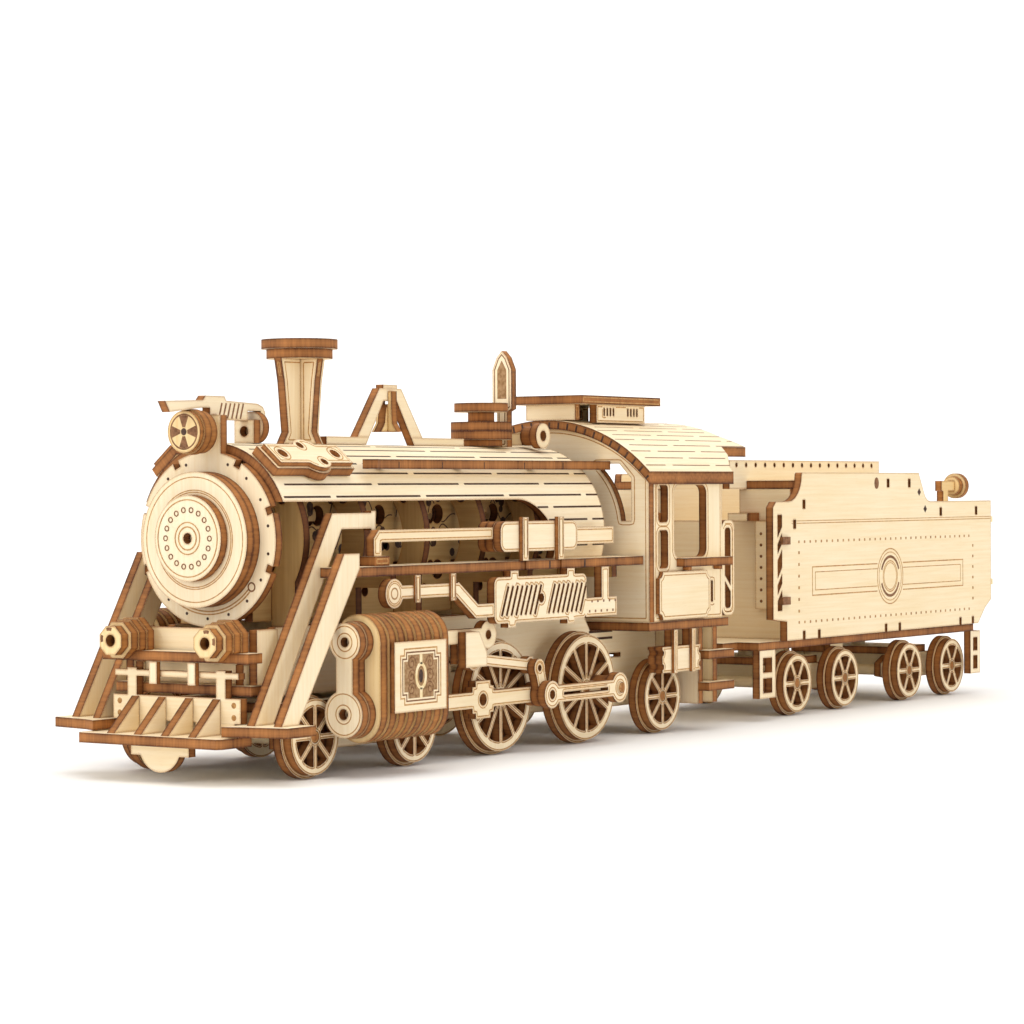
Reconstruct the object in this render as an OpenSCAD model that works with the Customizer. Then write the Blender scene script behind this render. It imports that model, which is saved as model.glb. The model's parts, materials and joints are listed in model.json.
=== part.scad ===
// Steam locomotive and tender, built from laser-cut plywood sheets.
// Every plate is a flat outline given the sheet's thickness; axles and pins are dowels.
// Lengths along the engine are stations, counted back from the leading axle.

/* [Plywood] */
// Thickness of the plywood sheet
ply = 2; // [1.9:0.05:2]
// Gap left where two sheets are glued or slotted together
glue = 0.02; // [0.01:0.01:0.03]

/* [Overall] */
// Station of the front edge of the front plate
nose = -25; // [-26:0.5:-24.5]
// Station of the rearmost face of the tender lamps
tail = 302; // [302:0.5:304]

/* [Wheels] */
// Distance from the centre line to the outer face of a wheel
wheel_face = 22.3; // [22.1:0.1:22.3]
// How far a flange stands out beyond its tread
flange = 0.8; // [0.6:0.1:0.9]
// Flange radius of the leading wheels
pilot_r = 8.4; // [8:0.1:8.5]
// Flange radius of the driving wheels
driver_r = 12.6; // [12.2:0.1:12.7]
// Flange radius of the trailing wheels
trailing_r = 8.7; // [8.3:0.1:8.8]
// Flange radius of the tender wheels
tender_r = 8.1; // [7.8:0.1:8.2]
// Radius of the dowel used for every axle
axle_r = 1.3; // [1.2:0.05:1.4]
// Radial running clearance of a dowel in its frame
running = 0.08; // [0.05:0.01:0.1]

/* [Boiler] */
// Height of the boiler's centre line above the rail
boiler_z = 47.5; // [47.3:0.1:47.7]
// Outside radius of the slatted boiler skin
boiler_r = 19.4; // [19.3:0.05:19.5]
// Radius of the ring at the front of the smokebox
ring_r = 17.6; // [17.4:0.1:17.8]

/* [Rods] */
// Distance from a driving axle to its crank pin
crank = 3.5; // [3.2:0.1:3.6]
// Length of the main rod between its two eyes
rod_len = 27.4; // [27:0.1:27.6]

/* [Cab] */
// Outside radius of the arched roof
roof_r = 40; // [39.8:0.1:40.2]
// Height of the roof's crown above the rail
roof_top = 73.3; // [73.2:0.1:73.5]

/* [Hidden] */

// Half way along the model, where the frame's origin lies
middle = (nose + tail) / 2;
// Stations of the axles
pilot_axles = [0, 33.3];
driver_axles = [64.7, 98.7];
trailing_axle = 131.3;
tender_axles = [195.9, 221.2, 257.6, 283.2];
// Stations of the two kinds of pivot
pilot_pivot = (pilot_axles[0] + pilot_axles[1]) / 2;
tender_pivots = [(tender_axles[0] + tender_axles[1]) / 2, (tender_axles[2] + tender_axles[3]) / 2];
drawbar_pin = 156;
// Layers of plate outside the wheels, each named by its middle plane
rod_layer = -23.8;
link_layer = rod_layer - ply - 0.1;
main_layer = link_layer - ply - 0.1;
// The rods' own places
crank_x = driver_axles[1] + crank;
crank_z = driver_r;
eye_x = crank_x - rod_len;
link_top = [eye_x - 1.8, 18.4];
radius_pin = [51.3, 21.4];
valve_z = 26.3;
pin_r = 1.2;
// Half-breadths of the main plates
frame_y = 13;
saddle_y = 15;
side_y = 26.4;
tender_y = 26.5;
board_y = 26;
hung_y = -25.9;
// Levels
floor_z = 25.5;
board_z = 40.8;
tender_base_z = 18.45;
bogie_top_z = 13;
// Colours of the sheet and of a scorched dowel
sheet = "#F3DFB5";
scorched = "#9C6B3C";
// Facets of a true circle
$fn = 64;

// ---------- helpers ----------

// Puts station zero, the leading axle, in the row's frame
module placed() translate([-middle, 0, 0]) children();

// A part and its twin on the far side
module both_sides() {
    children();
    mirror([0, 1, 0]) children();
}

// The same for an outline drawn in a plate that stands across
module both_halves() {
    children();
    mirror([1, 0]) children();
}

// A sheet standing lengthwise, its outline drawn as [station, height]
module along(y, t = ply) {
    translate([0, y + t / 2, 0]) rotate([90, 0, 0]) linear_extrude(t) children();
}

// A sheet standing across, its outline drawn as [y, height]
module across(x, t = ply) {
    translate([x - t / 2, 0, 0]) rotate([90, 0, 90]) linear_extrude(t) children();
}

// A sheet lying flat, its outline drawn as [station, y]
module flat(z, t = ply) {
    translate([0, 0, z - t / 2]) linear_extrude(t) children();
}

// A rectangle from one corner to the other
module block(low, high) translate(low) square(high - low);

// The same with rounded corners
module soft_block(low, high, r) {
    block([low[0] + r, low[1]], [high[0] - r, high[1]]);
    block([low[0], low[1] + r], [high[0], high[1] - r]);
    for (x = [low[0] + r, high[0] - r], y = [low[1] + r, high[1] - r]) dot([x, y], r);
}

// A round hole or disc at a point
module dot(at, r) translate(at) circle(r);

// A straight bar of breadth w between two points
module bar(a, b, w) {
    run = b - a;
    translate(a) rotate(atan2(run[1], run[0])) translate([0, -w / 2]) square([norm(run), w]);
}

// A dowel across the engine
module cross_dowel(x, z, r, low, high) {
    translate([x, low, z]) rotate([-90, 0, 0]) cylinder(r = r, h = high - low);
}

// ---------- wheels ----------

// Outline of a spoked wheel: rim, hub and straight spokes, with the axle's hole
module spoked(r, spokes, rim, hub, spoke) {
    difference() {
        union() {
            difference() {
                circle(r);
                circle(r - rim);
            }
            circle(hub);
            for (k = [0:spokes - 1])
                rotate(k * 360 / spokes) block([hub / 2, -spoke / 2], [r - rim / 2, spoke / 2]);
        }
        circle(axle_r + glue);
    }
}

// Two wheels on their axle. Each wheel is a tread disc outside a slightly larger flange disc.
module wheel_pair(x, r, spokes, rim, hub, spoke) {
    tread = r - flange;
    translate([x, 0, r]) {
        both_sides() {
            along(-(wheel_face - ply / 2)) spoked(tread, spokes, rim, hub, spoke);
            along(-(wheel_face - 1.5 * ply - glue))
                spoked(r, spokes, rim + flange, hub, spoke);
        }
        cross_dowel(0, 0, axle_r, -wheel_face + 0.1, wheel_face - 0.1);
    }
}

module pilot_wheels(x) wheel_pair(x, pilot_r, 8, 1.6, 1.9, 1.1);
module driver_wheels(x) wheel_pair(x, driver_r, 12, 2, 2.4, 1.1);
module tender_wheels(x) wheel_pair(x, tender_r, 6, 1.7, 2, 1.3);

module pilot_wheels_1() color(sheet) placed() pilot_wheels(pilot_axles[0]);
module pilot_wheels_2() color(sheet) placed() pilot_wheels(pilot_axles[1]);
module driver_wheels_1() color(sheet) placed() driver_wheels(driver_axles[0]);

// The rear driving wheels carry the crank pins, each with a collar behind the rod
module driver_wheels_2() color(sheet) placed() {
    driver_wheels(driver_axles[1]);
    collar_r = 2.6;
    both_sides() {
        collar_y = main_layer + ply / 2 + 0.1;
        cross_dowel(crank_x, crank_z, collar_r, collar_y, -wheel_face - glue);
        cross_dowel(crank_x, crank_z, pin_r, main_layer - ply / 2 - 0.5, collar_y - glue);
    }
}

module trailing_wheels() color(sheet) placed()
    wheel_pair(trailing_axle, trailing_r, 8, 1.7, 2, 1.1);
module tender_wheels_1() color(sheet) placed() tender_wheels(tender_axles[0]);
module tender_wheels_2() color(sheet) placed() tender_wheels(tender_axles[1]);
module tender_wheels_3() color(sheet) placed() tender_wheels(tender_axles[2]);
module tender_wheels_4() color(sheet) placed() tender_wheels(tender_axles[3]);

// ---------- engine frame ----------

// Two long side frames that hold the driving and trailing axles
module chassis_frames() color(sheet) placed() both_sides() along(-frame_y) difference() {
    polygon([
        [-12, 18], [-4, 18], [0, 16.2], [46, 16.2], [50, 8], [122, 6.5], [150, 6.5],
        [150, floor_z - ply / 2 - glue], [113, floor_z - ply / 2 - glue], [109, 30],
        [-2, 30], [-8, 23], [-12, 23]
    ]);
    for (x = driver_axles) dot([x, driver_r], axle_r + running);
    dot([trailing_axle, trailing_r], axle_r + running);
    for (x = [56, 74, 106]) block([x, 20], [x + 9, 21]);
    for (x = [58, 76, 118]) block([x, 18], [x + 8, 19]);
}

// Cross plates that space the side frames, the leading truck's pivot and the drawbar plate
module chassis_stretchers() color(sheet) placed() {
    inner = frame_y - ply / 2 - glue;
    for (x = [-3, 30, 49]) across(x) block([-inner, 18.5], [inner, 29]);
    across(82) block([-inner, 6], [inner, 29]);
    across(117) block([-inner, 8], [inner, 24]);
    across(146) difference() {
        block([-inner, 8], [inner, 24]);
        dot([0, 18], 3.5);
    }
    flat(17.3) difference() {
        block([pilot_pivot - 9, -inner], [pilot_pivot + 9, inner]);
        dot([pilot_pivot, 0], 2 + glue);
    }
    translate([pilot_pivot, 0, 12]) cylinder(r = 2, h = 7);
    flat(18) difference() {
        block([147 + glue, -6], [160, 6]);
        dot([drawbar_pin, 0], 1.5 + glue);
    }
    translate([drawbar_pin, 0, 13.6]) cylinder(r = 1.5, h = 6);
}

// Bottom plate at the front, with the coupling tongue and a half-round guard under it
module front_plate() color(sheet) placed() {
    flat(8.4) polygon([
        [nose, -17.6], [nose + 1, -18.4], [-15, -18.4], [-11.5, -12], [-11.5, 12], [-15, 18.4],
        [nose + 1, 18.4], [nose, 17.6]
    ]);
    across(-20) {
        block([-7.5, 5.2], [7.5, 7.4 - glue]);
        intersection() {
            dot([0, 7.3], 5.4);
            block([-6, 0], [6, 5.3]);
        }
    }
}

// Swept step plates on both sides, one sheet higher than the front plate
module front_wings() color(sheet) placed() both_sides() flat(10.6) polygon([
    [-22, -16.6], [-20.5, -20], [-18.5, -30], [-9.5, -30], [-9.2, -23], [-11, -19], [-11, -16.6]
]);

// Slanting ribs from the cross frame down to the front edge
module cowcatcher_ribs() color(sheet) placed()
    for (y = [-10.5, -3.5, 3.5, 10.5]) along(y)
        polygon([[nose + 1.4, 9.4 + glue], [-16.1, 9.4 + glue], [-16.1, 16.4]]);

// Upright plate behind the ribs: two posts, a handrail bar and a shelf at its back
module front_cross_frame() color(sheet) placed() {
    across(-15 - glue) {
        block([-16.5, 11.7], [16.5, 16.6]);
        for (y = [-11.5, 11.5]) block([y - 1.2, 16], [y + 1.2, 22]);
        block([-16, 20.4], [16, 21.6]);
    }
    across(-15 - glue) for (y = [-10, 10]) block([y - 5, 9.4 + glue], [y + 5, 11.7 - glue]);
    flat(18) difference() {
        block([-14 + glue, -17.5], [-4.1, 17.5]);
        both_sides() block([-12.2, -14.2], [-4, -11.8]);
    }
    for (y = [-5, 5]) along(y) block([-17.2, 19], [-16.02 - 2 * glue, 23.4]);
}

// Cross beam that carries the marker lamps between the braces
module lamp_beam() color(sheet) placed() {
    flat(24.5) block([-16.5, -18.8], [-12.1, 18.8]);
    across(-10.5) block([-11.9, 19.1], [11.9, 30]);
    both_sides() along(-16) block([-11.5, 19.1], [-5, 29.9]);
}

// A pair of eight-sided lamps facing forwards
module marker_lamps() color(scorched) placed() both_sides() translate([0, -12.2, 27.6]) {
    lamp_r = 4.3;
    for (k = [0:2])
        across(-18.5 + k * (ply + glue)) difference() {
            rotate(22.5) circle(lamp_r + 0.4 * k - 0.4, $fn = 8);
            dot([0, 0], 1.2);
            if (k > 0) block([-6, -6], [6, -2.05]);
        }
    across(-20.6, 2) difference() {
        rotate(22.5) circle(lamp_r - 1.2, $fn = 8);
        dot([0, 0], 1.2);
    }
}

// Two sloping braces on each side, from the boiler's shoulder and the running board to the wings
module front_braces() color(sheet) placed() both_sides() {
    along(-20) polygon([
        [-17.2, 11.6 + glue], [-11.4, 11.6 + glue], [10.6, 49.4], [20.5, 49.4], [20.5, 49],
        [22, 49], [22, 53], [20.5, 53], [20.5, 52.6], [7.6, 52.6]
    ]);
    along(-26.2) polygon([
        [-16.6, 11.6 + glue], [-11.4, 11.6 + glue], [8.4, 41.6], [8.4, 44.6], [3.4, 44.6]
    ]);
}

// ---------- smokebox and boiler ----------

// Ring plate of the smokebox, with the neck that holds the headlamp
module smokebox_ring() color(sheet) placed() {
    notch = 1.6;
    across(-5.2) difference() {
        union() {
            dot([0, boiler_z], ring_r);
            block([-3.6, boiler_z + ring_r - 2], [3.6, 72.4]);
        }
        for (a = [20, 62, 118, 160, 200, 340])
            translate([0, boiler_z]) rotate(a)
                block([ring_r - 1.4, -notch / 2], [ring_r + 1, notch / 2]);
        dot([0, 69], 1.3);
    }
}

// Door of two plies, with a smaller round door and a hub ring on it
module smokebox_door() color(sheet) placed() {
    across(-5.2 - ply - glue) dot([0, boiler_z], 13.6);
    across(-5.2 - 2 * (ply + glue)) dot([0, boiler_z], 13.6);
    across(-5.2 - 3 * (ply + glue)) difference() {
        dot([0, boiler_z + 0.3], 8.6);
        dot([0, boiler_z + 0.3], 1.1);
    }
}

// Ribs that the boiler skin is bent over, some with arms under the running boards
module boiler_formers() color(sheet) placed() {
    former_r = boiler_r - ply - 0.1;
    stations = [4, 24, 45, 66, 87, 108];
    for (k = [0:len(stations) - 1]) across(stations[k]) difference() {
        union() {
            dot([0, boiler_z], former_r);
            block([-saddle_y, 30 + glue], [saddle_y, boiler_z]);
            if (k % 2 == 1) block([-23.9, 37.2], [23.9, board_z - ply / 2 - glue]);
        }
        dot([0, boiler_z], 11.5);
        block([-6.96, 29], [6.96, 40]);
        for (a = [35, 90, 145]) translate([0, boiler_z]) rotate(a) dot([14.4, 0], 1.3);
        both_halves() block([-9.05, 28], [-6.95, 59.5]);
    }
}

// The bent skin over the formers, cut back in a long arch on both flanks
module boiler_skin() color(sheet) placed() {
    front = -4.2 + glue;
    rear = 111;
    shoulder = 55;
    difference() {
        translate([front, 0, 0]) rotate([90, 0, 90]) linear_extrude(rear - front) difference() {
            dot([0, boiler_z], boiler_r);
            dot([0, boiler_z], boiler_r - ply);
            block([-30, 0], [30, board_z + ply / 2 + glue]);
        }
        translate([front - 1, -30, 30]) cube([78 - front + 1, 60, shoulder - 30]);
        translate([78, -30, 42]) rotate([-90, 0, 0]) cylinder(r = shoulder - 42, h = 60);
    }
}

// Two upright plates inside the boiler, pierced with groups of round holes
module boiler_inner_plates() color(sheet) placed() both_sides() along(-8) difference() {
    block([-3, 31], [112, 59.3]);
    for (x = [13, 34, 55, 76, 97], k = [0:3]) dot([x + 2.4 * (k % 2), 36 + 5 * k], 1.1);
    for (x = [18, 39, 60, 81], z = [40, 52]) dot([x, z], 2.1);
    for (x = [4, 24, 45, 66, 87, 108]) block([x - 1.05, 30], [x + 1.05, 42]);
}

// Long handrail strips on the boiler's shoulders, on short stubs
module boiler_rails() color(sheet) placed() both_sides() {
    flat(62.6) polygon([
        [24, -16.2], [28, -14], [117.3, -14], [117.3, -17], [29, -17], [26, -18.6]
    ]);
    for (x = [32, 60, 88, 110]) flat(62.6, 1.2) block([x, -14 + glue], [x + 2.5, -12.95]);
}

// Ornate double plates lying on the shoulders behind the smokebox ring
module boiler_plaques() color(sheet) placed() both_sides()
    translate([8.5, 0, boiler_z]) rotate([40, 0, 0]) {
        translate([0, 0, boiler_r + 0.05]) linear_extrude(ply) {
            block([-12.5, -3.5], [12.5, 3.5]);
            dot([1, 0], 5);
        }
        translate([0, 0, boiler_r + 0.05 + ply + glue]) linear_extrude(ply / 2) difference() {
            union() {
                block([-11.7, -2.9], [11.7, 2.9]);
                dot([1, 0], 4.5);
            }
            for (x = [-8.5, 8.5]) dot([x, 0], 1.2);
            dot([-0.5, 2.6], 0.9);
            dot([2.5, -2.6], 0.9);
        }
    }

// ---------- on top of the boiler ----------

// Profile of one half of the stack's crossed plates, narrowed by the factor k
module stack_half(k) {
    base = boiler_z + boiler_r + glue;
    polygon([
        [0, base], [6.6 * k, base], [5 * k, base + 2.4], [6.2 * k, base + 13],
        [7.2 * k, 84.6], [0, 84.6]
    ]);
}

stack_x = 23.8;

module stack_fins() color(sheet) placed() translate([stack_x, 0, 0]) {
    along(0) {
        stack_half(1);
        mirror([1, 0]) stack_half(1);
    }
    for (side = [0, 1]) mirror([0, side, 0]) across(0) difference() {
        stack_half(0.76);
        block([-1, 60], [ply / 2 + glue, 90]);
    }
}

module stack_caps() color(sheet) placed() translate([stack_x, 0, 0]) {
    flat(84.6 + ply / 2 + glue) circle(6.9);
    flat(84.6 + 1.5 * ply + 2 * glue) circle(7.95);
}

// Drum of the headlamp, three plies deep, on a stub through the ring's neck
module headlamp() color(scorched) placed() translate([0, 0, 69]) {
    across(-9, 2) circle(4.3);
    across(-11 - glue) circle(4.55);
    across(-12.6 - 2 * glue, 1.1) circle(4.2);
    translate([-8 + glue, 0, 0]) rotate([0, 90, 0]) cylinder(r = 1.25, h = 6);
}

// Long visor board above the lamp, with the generator's two plates under its rear end
module headlamp_board() color(sheet) placed() {
    base = boiler_z + boiler_r + glue;
    along(0) polygon([
        [-19.9, 75], [-18.5, 72.8], [-8.4, 73.9], [-6.3, 73.9], [-6.3, 72.5], [-4.1, 72.5],
        [-4.1, 71.5], [5.5, 71.5], [5.5, 73.5], [9.7, 73.5], [9.7, 70.6], [11.2, 70.6],
        [11.2, 73.2], [10.4, 74.4], [8.6, 75], [-1.2, 75.4], [-1.8, 76.3], [-7.6, 76.3], [-8.4, 75.4]
    ]);
    across(6.55) difference() {
        block([-2.55, base], [2.55, 71.6]);
        dot([0, 69.3], 1.1);
    }
    across(8.6 + glue) intersection() {
        dot([0, 70.1], 3.3);
        block([-5, base], [5, 73.5]);
    }
}

// A-frame for the bell, on a long strip along the boiler's crown
module bell_frame() color(sheet) placed() along(0) difference() {
    union() {
        block([31.5, boiler_z + boiler_r + glue], [81.5, 68.6]);
        polygon([[41, 66.95], [50.2, 79.2], [58, 79.2], [67, 66.95]]);
        block([51.5, 79], [56.5, 80]);
    }
    polygon([[45, 66.5], [51.6, 76.5], [56.4, 76.5], [63, 66.5]]);
    dot([54, 77.8], 0.6 + running);
}

// The bell: one plate in the frame's plane, a half plate on each side and its pivot dowel
module bell() color(scorched) placed() translate([54, 0, 0]) {
    along(0) polygon([
        [-3.4, 69.8], [3.4, 69.8], [2, 71.6], [1.5, 75], [0.8, 75.8], [-0.8, 75.8], [-1.5, 75], [-2, 71.6]
    ]);
    both_sides() across(0) polygon([
        [-ply / 2 - glue, 69.8], [-3.4, 69.8], [-2.2, 71.6], [-2, 75], [-2, 78.6], [-ply / 2 - 0.12, 78.6],
        [-ply / 2 - 0.12, 75.9], [-ply / 2 - glue, 75.8]
    ]);
    cross_dowel(0, 77.8, 0.6, -1.11, 1.11);
}

dome_x = 89.7;

// Steam dome: a foot, two wide round plates, a spacer and a smaller plate
module dome() color(sheet) placed() translate([dome_x, 0, 0]) {
    base = boiler_z + boiler_r + glue;
    flat(base + 0.75, 1.5) circle(4.8);
    flat(base + 1.5 + ply / 2 + glue) circle(6.9);
    flat(base + 1.5 + 1.5 * ply + 2 * glue) circle(6.9);
    flat(base + 1.5 + 2 * ply + 1.2, 2.1) circle(3);
    flat(base + 1.5 + 2 * ply + 2.3 + ply / 2) circle(6.1);
}

// Pointed whistle plate behind the dome
module whistle() color(sheet) placed() {
    base = boiler_z + boiler_r + glue;
    across(99) polygon([
        [-1.4, base], [1.4, base], [1.4, 75], [2.6, 75.6], [2.6, 84.6], [1.4, 87.4], [0, 88.9],
        [-1.4, 87.4], [-2.6, 84.6], [-2.6, 75.6], [-1.4, 75]
    ]);
}

// Ring-faced safety valves on the crown, one facing each side
module safety_valves() color(sheet) placed() {
    both_sides() along(-7) difference() {
        dot([103, 69.4], 2.9);
        dot([103, 69.4], 1.2);
    }
    both_sides() along(-4.5, 2.9) dot([103, 69.4], 2.2);
    along(0, 6) difference() {
        block([101.5, 67.3], [104.5, 70]);
    }
}

// ---------- running boards and what they carry ----------

module running_boards() color(sheet) placed() both_sides() flat(board_z) difference() {
    block([3.5, -board_y], [117, -17.5]);
    block([0, -board_y - 1], [8.6, -25.1]);
    block([0, -21.1], [15.6, -17]);
    for (x = [68.2, 82.1]) block([x - 1.1, -26.5], [x + 1.1, -25.6]);
}

// Air reservoir of three plies with two straps, a bent feed pipe and a rear pipe
module air_reservoirs() color(sheet) placed() both_sides() {
    board_top = board_z + ply / 2 + glue;
    for (k = [-1:1])
        along(-22.6 + k * (ply + glue)) soft_block([60.2, 43.8], [90.2, 50.3], 1.6 + 0.4 * abs(k));
    for (x = [68.2, 82.1]) along(-26.15, 1) block([x - 1.1, board_top], [x + 1.1, 51.2]);
    along(-22.6) block([90.2 + glue, 44.9], [108.2, 48.7]);
    along(-22.6) polygon([
        [17.9, board_top + 2], [20.5, board_top + 2], [20.5, 46.6], [60.2 - glue, 46.6], [60.2 - glue, 49.1],
        [19.6, 49.1], [17.9, 47.4]
    ]);
    along(-22.6, 4) block([17, board_top], [21.8, board_top + 2 - glue]);
}

// Under the board: an exhaust pipe with its round flange, two straps and the slope to the grille
module steam_pipes() color(sheet) placed() both_sides() {
    along(hung_y) {
        dot([20.4, 36.2], 3);
        bar([20.4, 36.4], [42.6, 36.4], 2.7);
        bar([41.9, 36.8], [50, 31.2], 2.9);
        bar([49, 31.6], [55.8, 31.6], 2.9);
    }
    for (x = [27.8, 40.3])
        along(hung_y - ply / 2 - glue - 0.25, 0.5)
            block([x - 0.9, 34.2], [x + 0.9, board_z - ply / 2 - glue]);
}

// Radiator grille: a round-cornered plate pierced by slanting slots, hung under the board
module grille_boxes() color(sheet) placed() both_sides() along(hung_y) difference() {
    union() {
        soft_block([55.9, 28.6], [91.8, 38.5], 1.6);
        for (x = [62, 84]) block([x, 38], [x + 3, board_z - ply / 2 - glue]);
        for (x = [61, 84]) block([x, 27.6], [x + 3, 29]);
        block([91.5, 28.8], [104.3, 33]);
        block([98, 32.5], [101, board_z - ply / 2 - glue]);
    }
    dot([73.8, 33.6], 1);
    for (k = [0:17]) if (k < 8 || k > 9)
        translate([58.6 + k * 1.8, 30.2]) rotate(-22) block([-0.3, 0], [0.35, 6.8]);
}

// ---------- cylinders and rods ----------

cylinder_y = -28.5;

// Outline of a cylinder plate: a tall shape with round ends, drawn as [y, height]
module cylinder_outline(inset) {
    wide = 5.6 - inset;
    low = 7 + inset;
    high = 32.6 - inset;
    dot([cylinder_y, low + wide], wide);
    dot([cylinder_y, high - wide], wide);
    block([cylinder_y - wide, low + wide], [cylinder_y + wide, high - wide]);
}

// A stack of plates with thinner, smaller plates between them
module cylinder_blocks() color(scorched) placed() both_sides() {
    pitch = 3;
    plates = 8;
    for (k = [0:plates - 1]) {
        across(7 + k * pitch) difference() {
            cylinder_outline(0);
            if (k > 2) block([rod_layer - 1.2, 10.4], [-20, 14.8]);
            if (k > plates - 3) block([rod_layer - 1.2, valve_z - 1.9], [-20, valve_z + 1.9]);
        }
        if (k < plates - 1) across(7 + (k + 0.5) * pitch, pitch - ply - 2 * glue) difference() {
            cylinder_outline(0.7);
            if (k > 2) block([rod_layer - 1.2, 10.4], [-20, 14.8]);
            if (k > plates - 3) block([rod_layer - 1.2, valve_z - 1.9], [-20, valve_z + 1.9]);
        }
    }
}

// Front covers of two plies with engraved rings, and the square panel on the outer side
module cylinder_covers() color(sheet) placed() both_sides() {
    low = [cylinder_y + 0.6, 12.9];
    high = [cylinder_y + 0.2, 27.2];
    for (k = [0, 1]) across(5 - glue - k * (ply + glue)) difference() {
        union() {
            dot(low, 5 - 0.3 * k);
            dot(high, 4.1 - 0.3 * k);
            block([cylinder_y - 1.7, 14], [cylinder_y + 2.4, 26]);
        }
        if (k == 1) {
            dot(low, 1.1);
            dot(high, 1);
        }
    }
    along(cylinder_y - 5.6 - 0.55, 1) difference() {
        block([9.2, 12.9], [26.8, 27]);
        translate([18, 20]) scale([0.8, 1.3]) dot([0, 0], 0.9);
    }
}

// Fixed upper bars behind the valve chest, with a lug down to the radius rod's pin
module valve_rods() color(sheet) placed() both_sides() {
    along(rod_layer) difference() {
        union() {
            block([24.5, valve_z - 1.5], [56, valve_z + 1.5]);
            dot([56.6, valve_z], 3);
            block([radius_pin[0] - 6, radius_pin[1] - 0.9], [radius_pin[0] - 3, valve_z]);
        }
        dot([56.6, valve_z], 1);
    }
    along(link_layer) polygon([
        [radius_pin[0] - 6, valve_z + 1], [radius_pin[0] - 6, 19.8], [radius_pin[0] + 1.8, 19.8],
        [radius_pin[0] + 1.8, 22.8], [radius_pin[0] - 1, valve_z + 1]
    ]);
    cross_dowel(radius_pin[0], radius_pin[1], pin_r, rod_layer - 1.08, rod_layer + 0.9);
}

// Sliding crosshead bars, the boss plate on each, and their round rear ends
module crossheads() color(sheet) placed() both_sides() along(rod_layer) difference() {
    union() {
        block([28.6, crank_z - 1.7], [eye_x, crank_z + 1.7]);
        block([51.8, crank_z - 4], [57.2, crank_z + 4]);
        block([50.6, crank_z - 2.8], [58.4, crank_z + 2.8]);
        dot([eye_x, crank_z], 2.6);
    }
    dot([54.5, crank_z], 1.3);
}

// Crescent links fixed to the crossheads, one layer further out
module valve_links() color(sheet) placed() both_sides() along(link_layer) difference() {
    union() {
        dot([eye_x, crank_z], 2.7);
        dot(link_top, 2);
        bar([eye_x, crank_z], link_top, 3.4);
    }
    dot(link_top, 0.7);
}

// Radius rods, hinged on the pins below the valve rods
module radius_rods() color(sheet) placed() both_sides() along(rod_layer) difference() {
    end = [link_top[0] - 0.4, link_top[1] + 0.6];
    union() {
        dot(radius_pin, 2.5);
        bar(radius_pin, end, 2.4);
        dot(end, 1.9);
    }
    dot(radius_pin, pin_r + running);
}

// Main rods from the crosshead's eye to the crank pin, with a long slot
module main_rods() color(sheet) placed() both_sides() along(main_layer) difference() {
    union() {
        block([eye_x, crank_z - 1.8], [crank_x, crank_z + 1.8]);
        dot([eye_x, crank_z], 3);
        dot([crank_x, crank_z], 3.4);
    }
    block([eye_x + 4.5, crank_z - 0.35], [crank_x - 5, crank_z + 0.35]);
    dot([eye_x, crank_z], 1);
    dot([crank_x, crank_z], pin_r + running);
}

// ---------- cab ----------

cab_front = 118.4;
cab_rear = 150.2;
roof_z = roof_top - roof_r;
roof_front = 115.6;
eave_y = 28.7;

module cab_floor() color(sheet) placed() flat(floor_z) block([cab_front - 2, -28], [152, 28]);

// Front wall with a window on each side of the boiler
module cab_front_wall() color(sheet) placed() across(cab_front) difference() {
    intersection() {
        block([-side_y - 1, floor_z + ply / 2 + glue], [side_y + 1, 80]);
        dot([0, roof_z], roof_r - ply - 0.05);
    }
    both_halves() difference() {
        polygon([[-11, 63], [-19.4, 63], [-22.6, 59.6], [-22.6, 49.8], [-11, 49.8]]);
        dot([0, boiler_z], 20);
    }
    dot([0, boiler_z], 9);
}

// Side walls: two narrow windows, a large one, a raised panel and a rear grab plate
module cab_sides() color(sheet) placed() both_sides() {
    low = floor_z + ply / 2 + glue;
    along(-side_y) difference() {
        block([cab_front + ply / 2 + glue, low], [cab_rear, 59.4]);
        soft_block([121.4, 38.8], [125.7, 47.6], 1);
        soft_block([121.4, 49.4], [125.7, 58], 1);
        soft_block([128.4, 41.2], [143, 58], 2);
        block([145, 30.4], [145.9, 35.4]);
    }
    along(-side_y - ply / 2 - 0.55, 1) difference() {
        block([120.2, 26.9], [143.1, 38]);
        for (x = [120.2, 143.1], z = [26.9, 38]) dot([x, z], 1.5);
    }
    along(-side_y) difference() {
        soft_block([cab_rear + glue, 26.9], [156, 49.6], 2);
        soft_block([cab_rear + 1.4, 28.6], [154.2, 47.8], 1);
        block([cab_rear - 1, 20], [cab_rear + glue, 60]);
    }
    along(-side_y) bar([cab_rear + 1.2, 36], [154.4, 33], 1);
}

// The roof sheet before it is bent, drawn as [station, y]: its rear edge has two long tongues
module roof_plan() both_sides() polygon([
    [roof_front, -1], [168, -1], [168, 16], [172.3, 21.2], [160.8, 21.2], [158.8, 24.1],
    [154, 27.4], [153.6, eave_y], [roof_front, eave_y]
]);

// Arched roof, bent over the walls
module cab_roof() color(sheet) placed() intersection() {
    translate([roof_front - 1, 0, 0]) rotate([90, 0, 90]) linear_extrude(60) difference() {
        dot([0, roof_z], roof_r);
        dot([0, roof_z], roof_r - ply);
    }
    translate([0, 0, 50]) linear_extrude(30) roof_plan();
}

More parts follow.
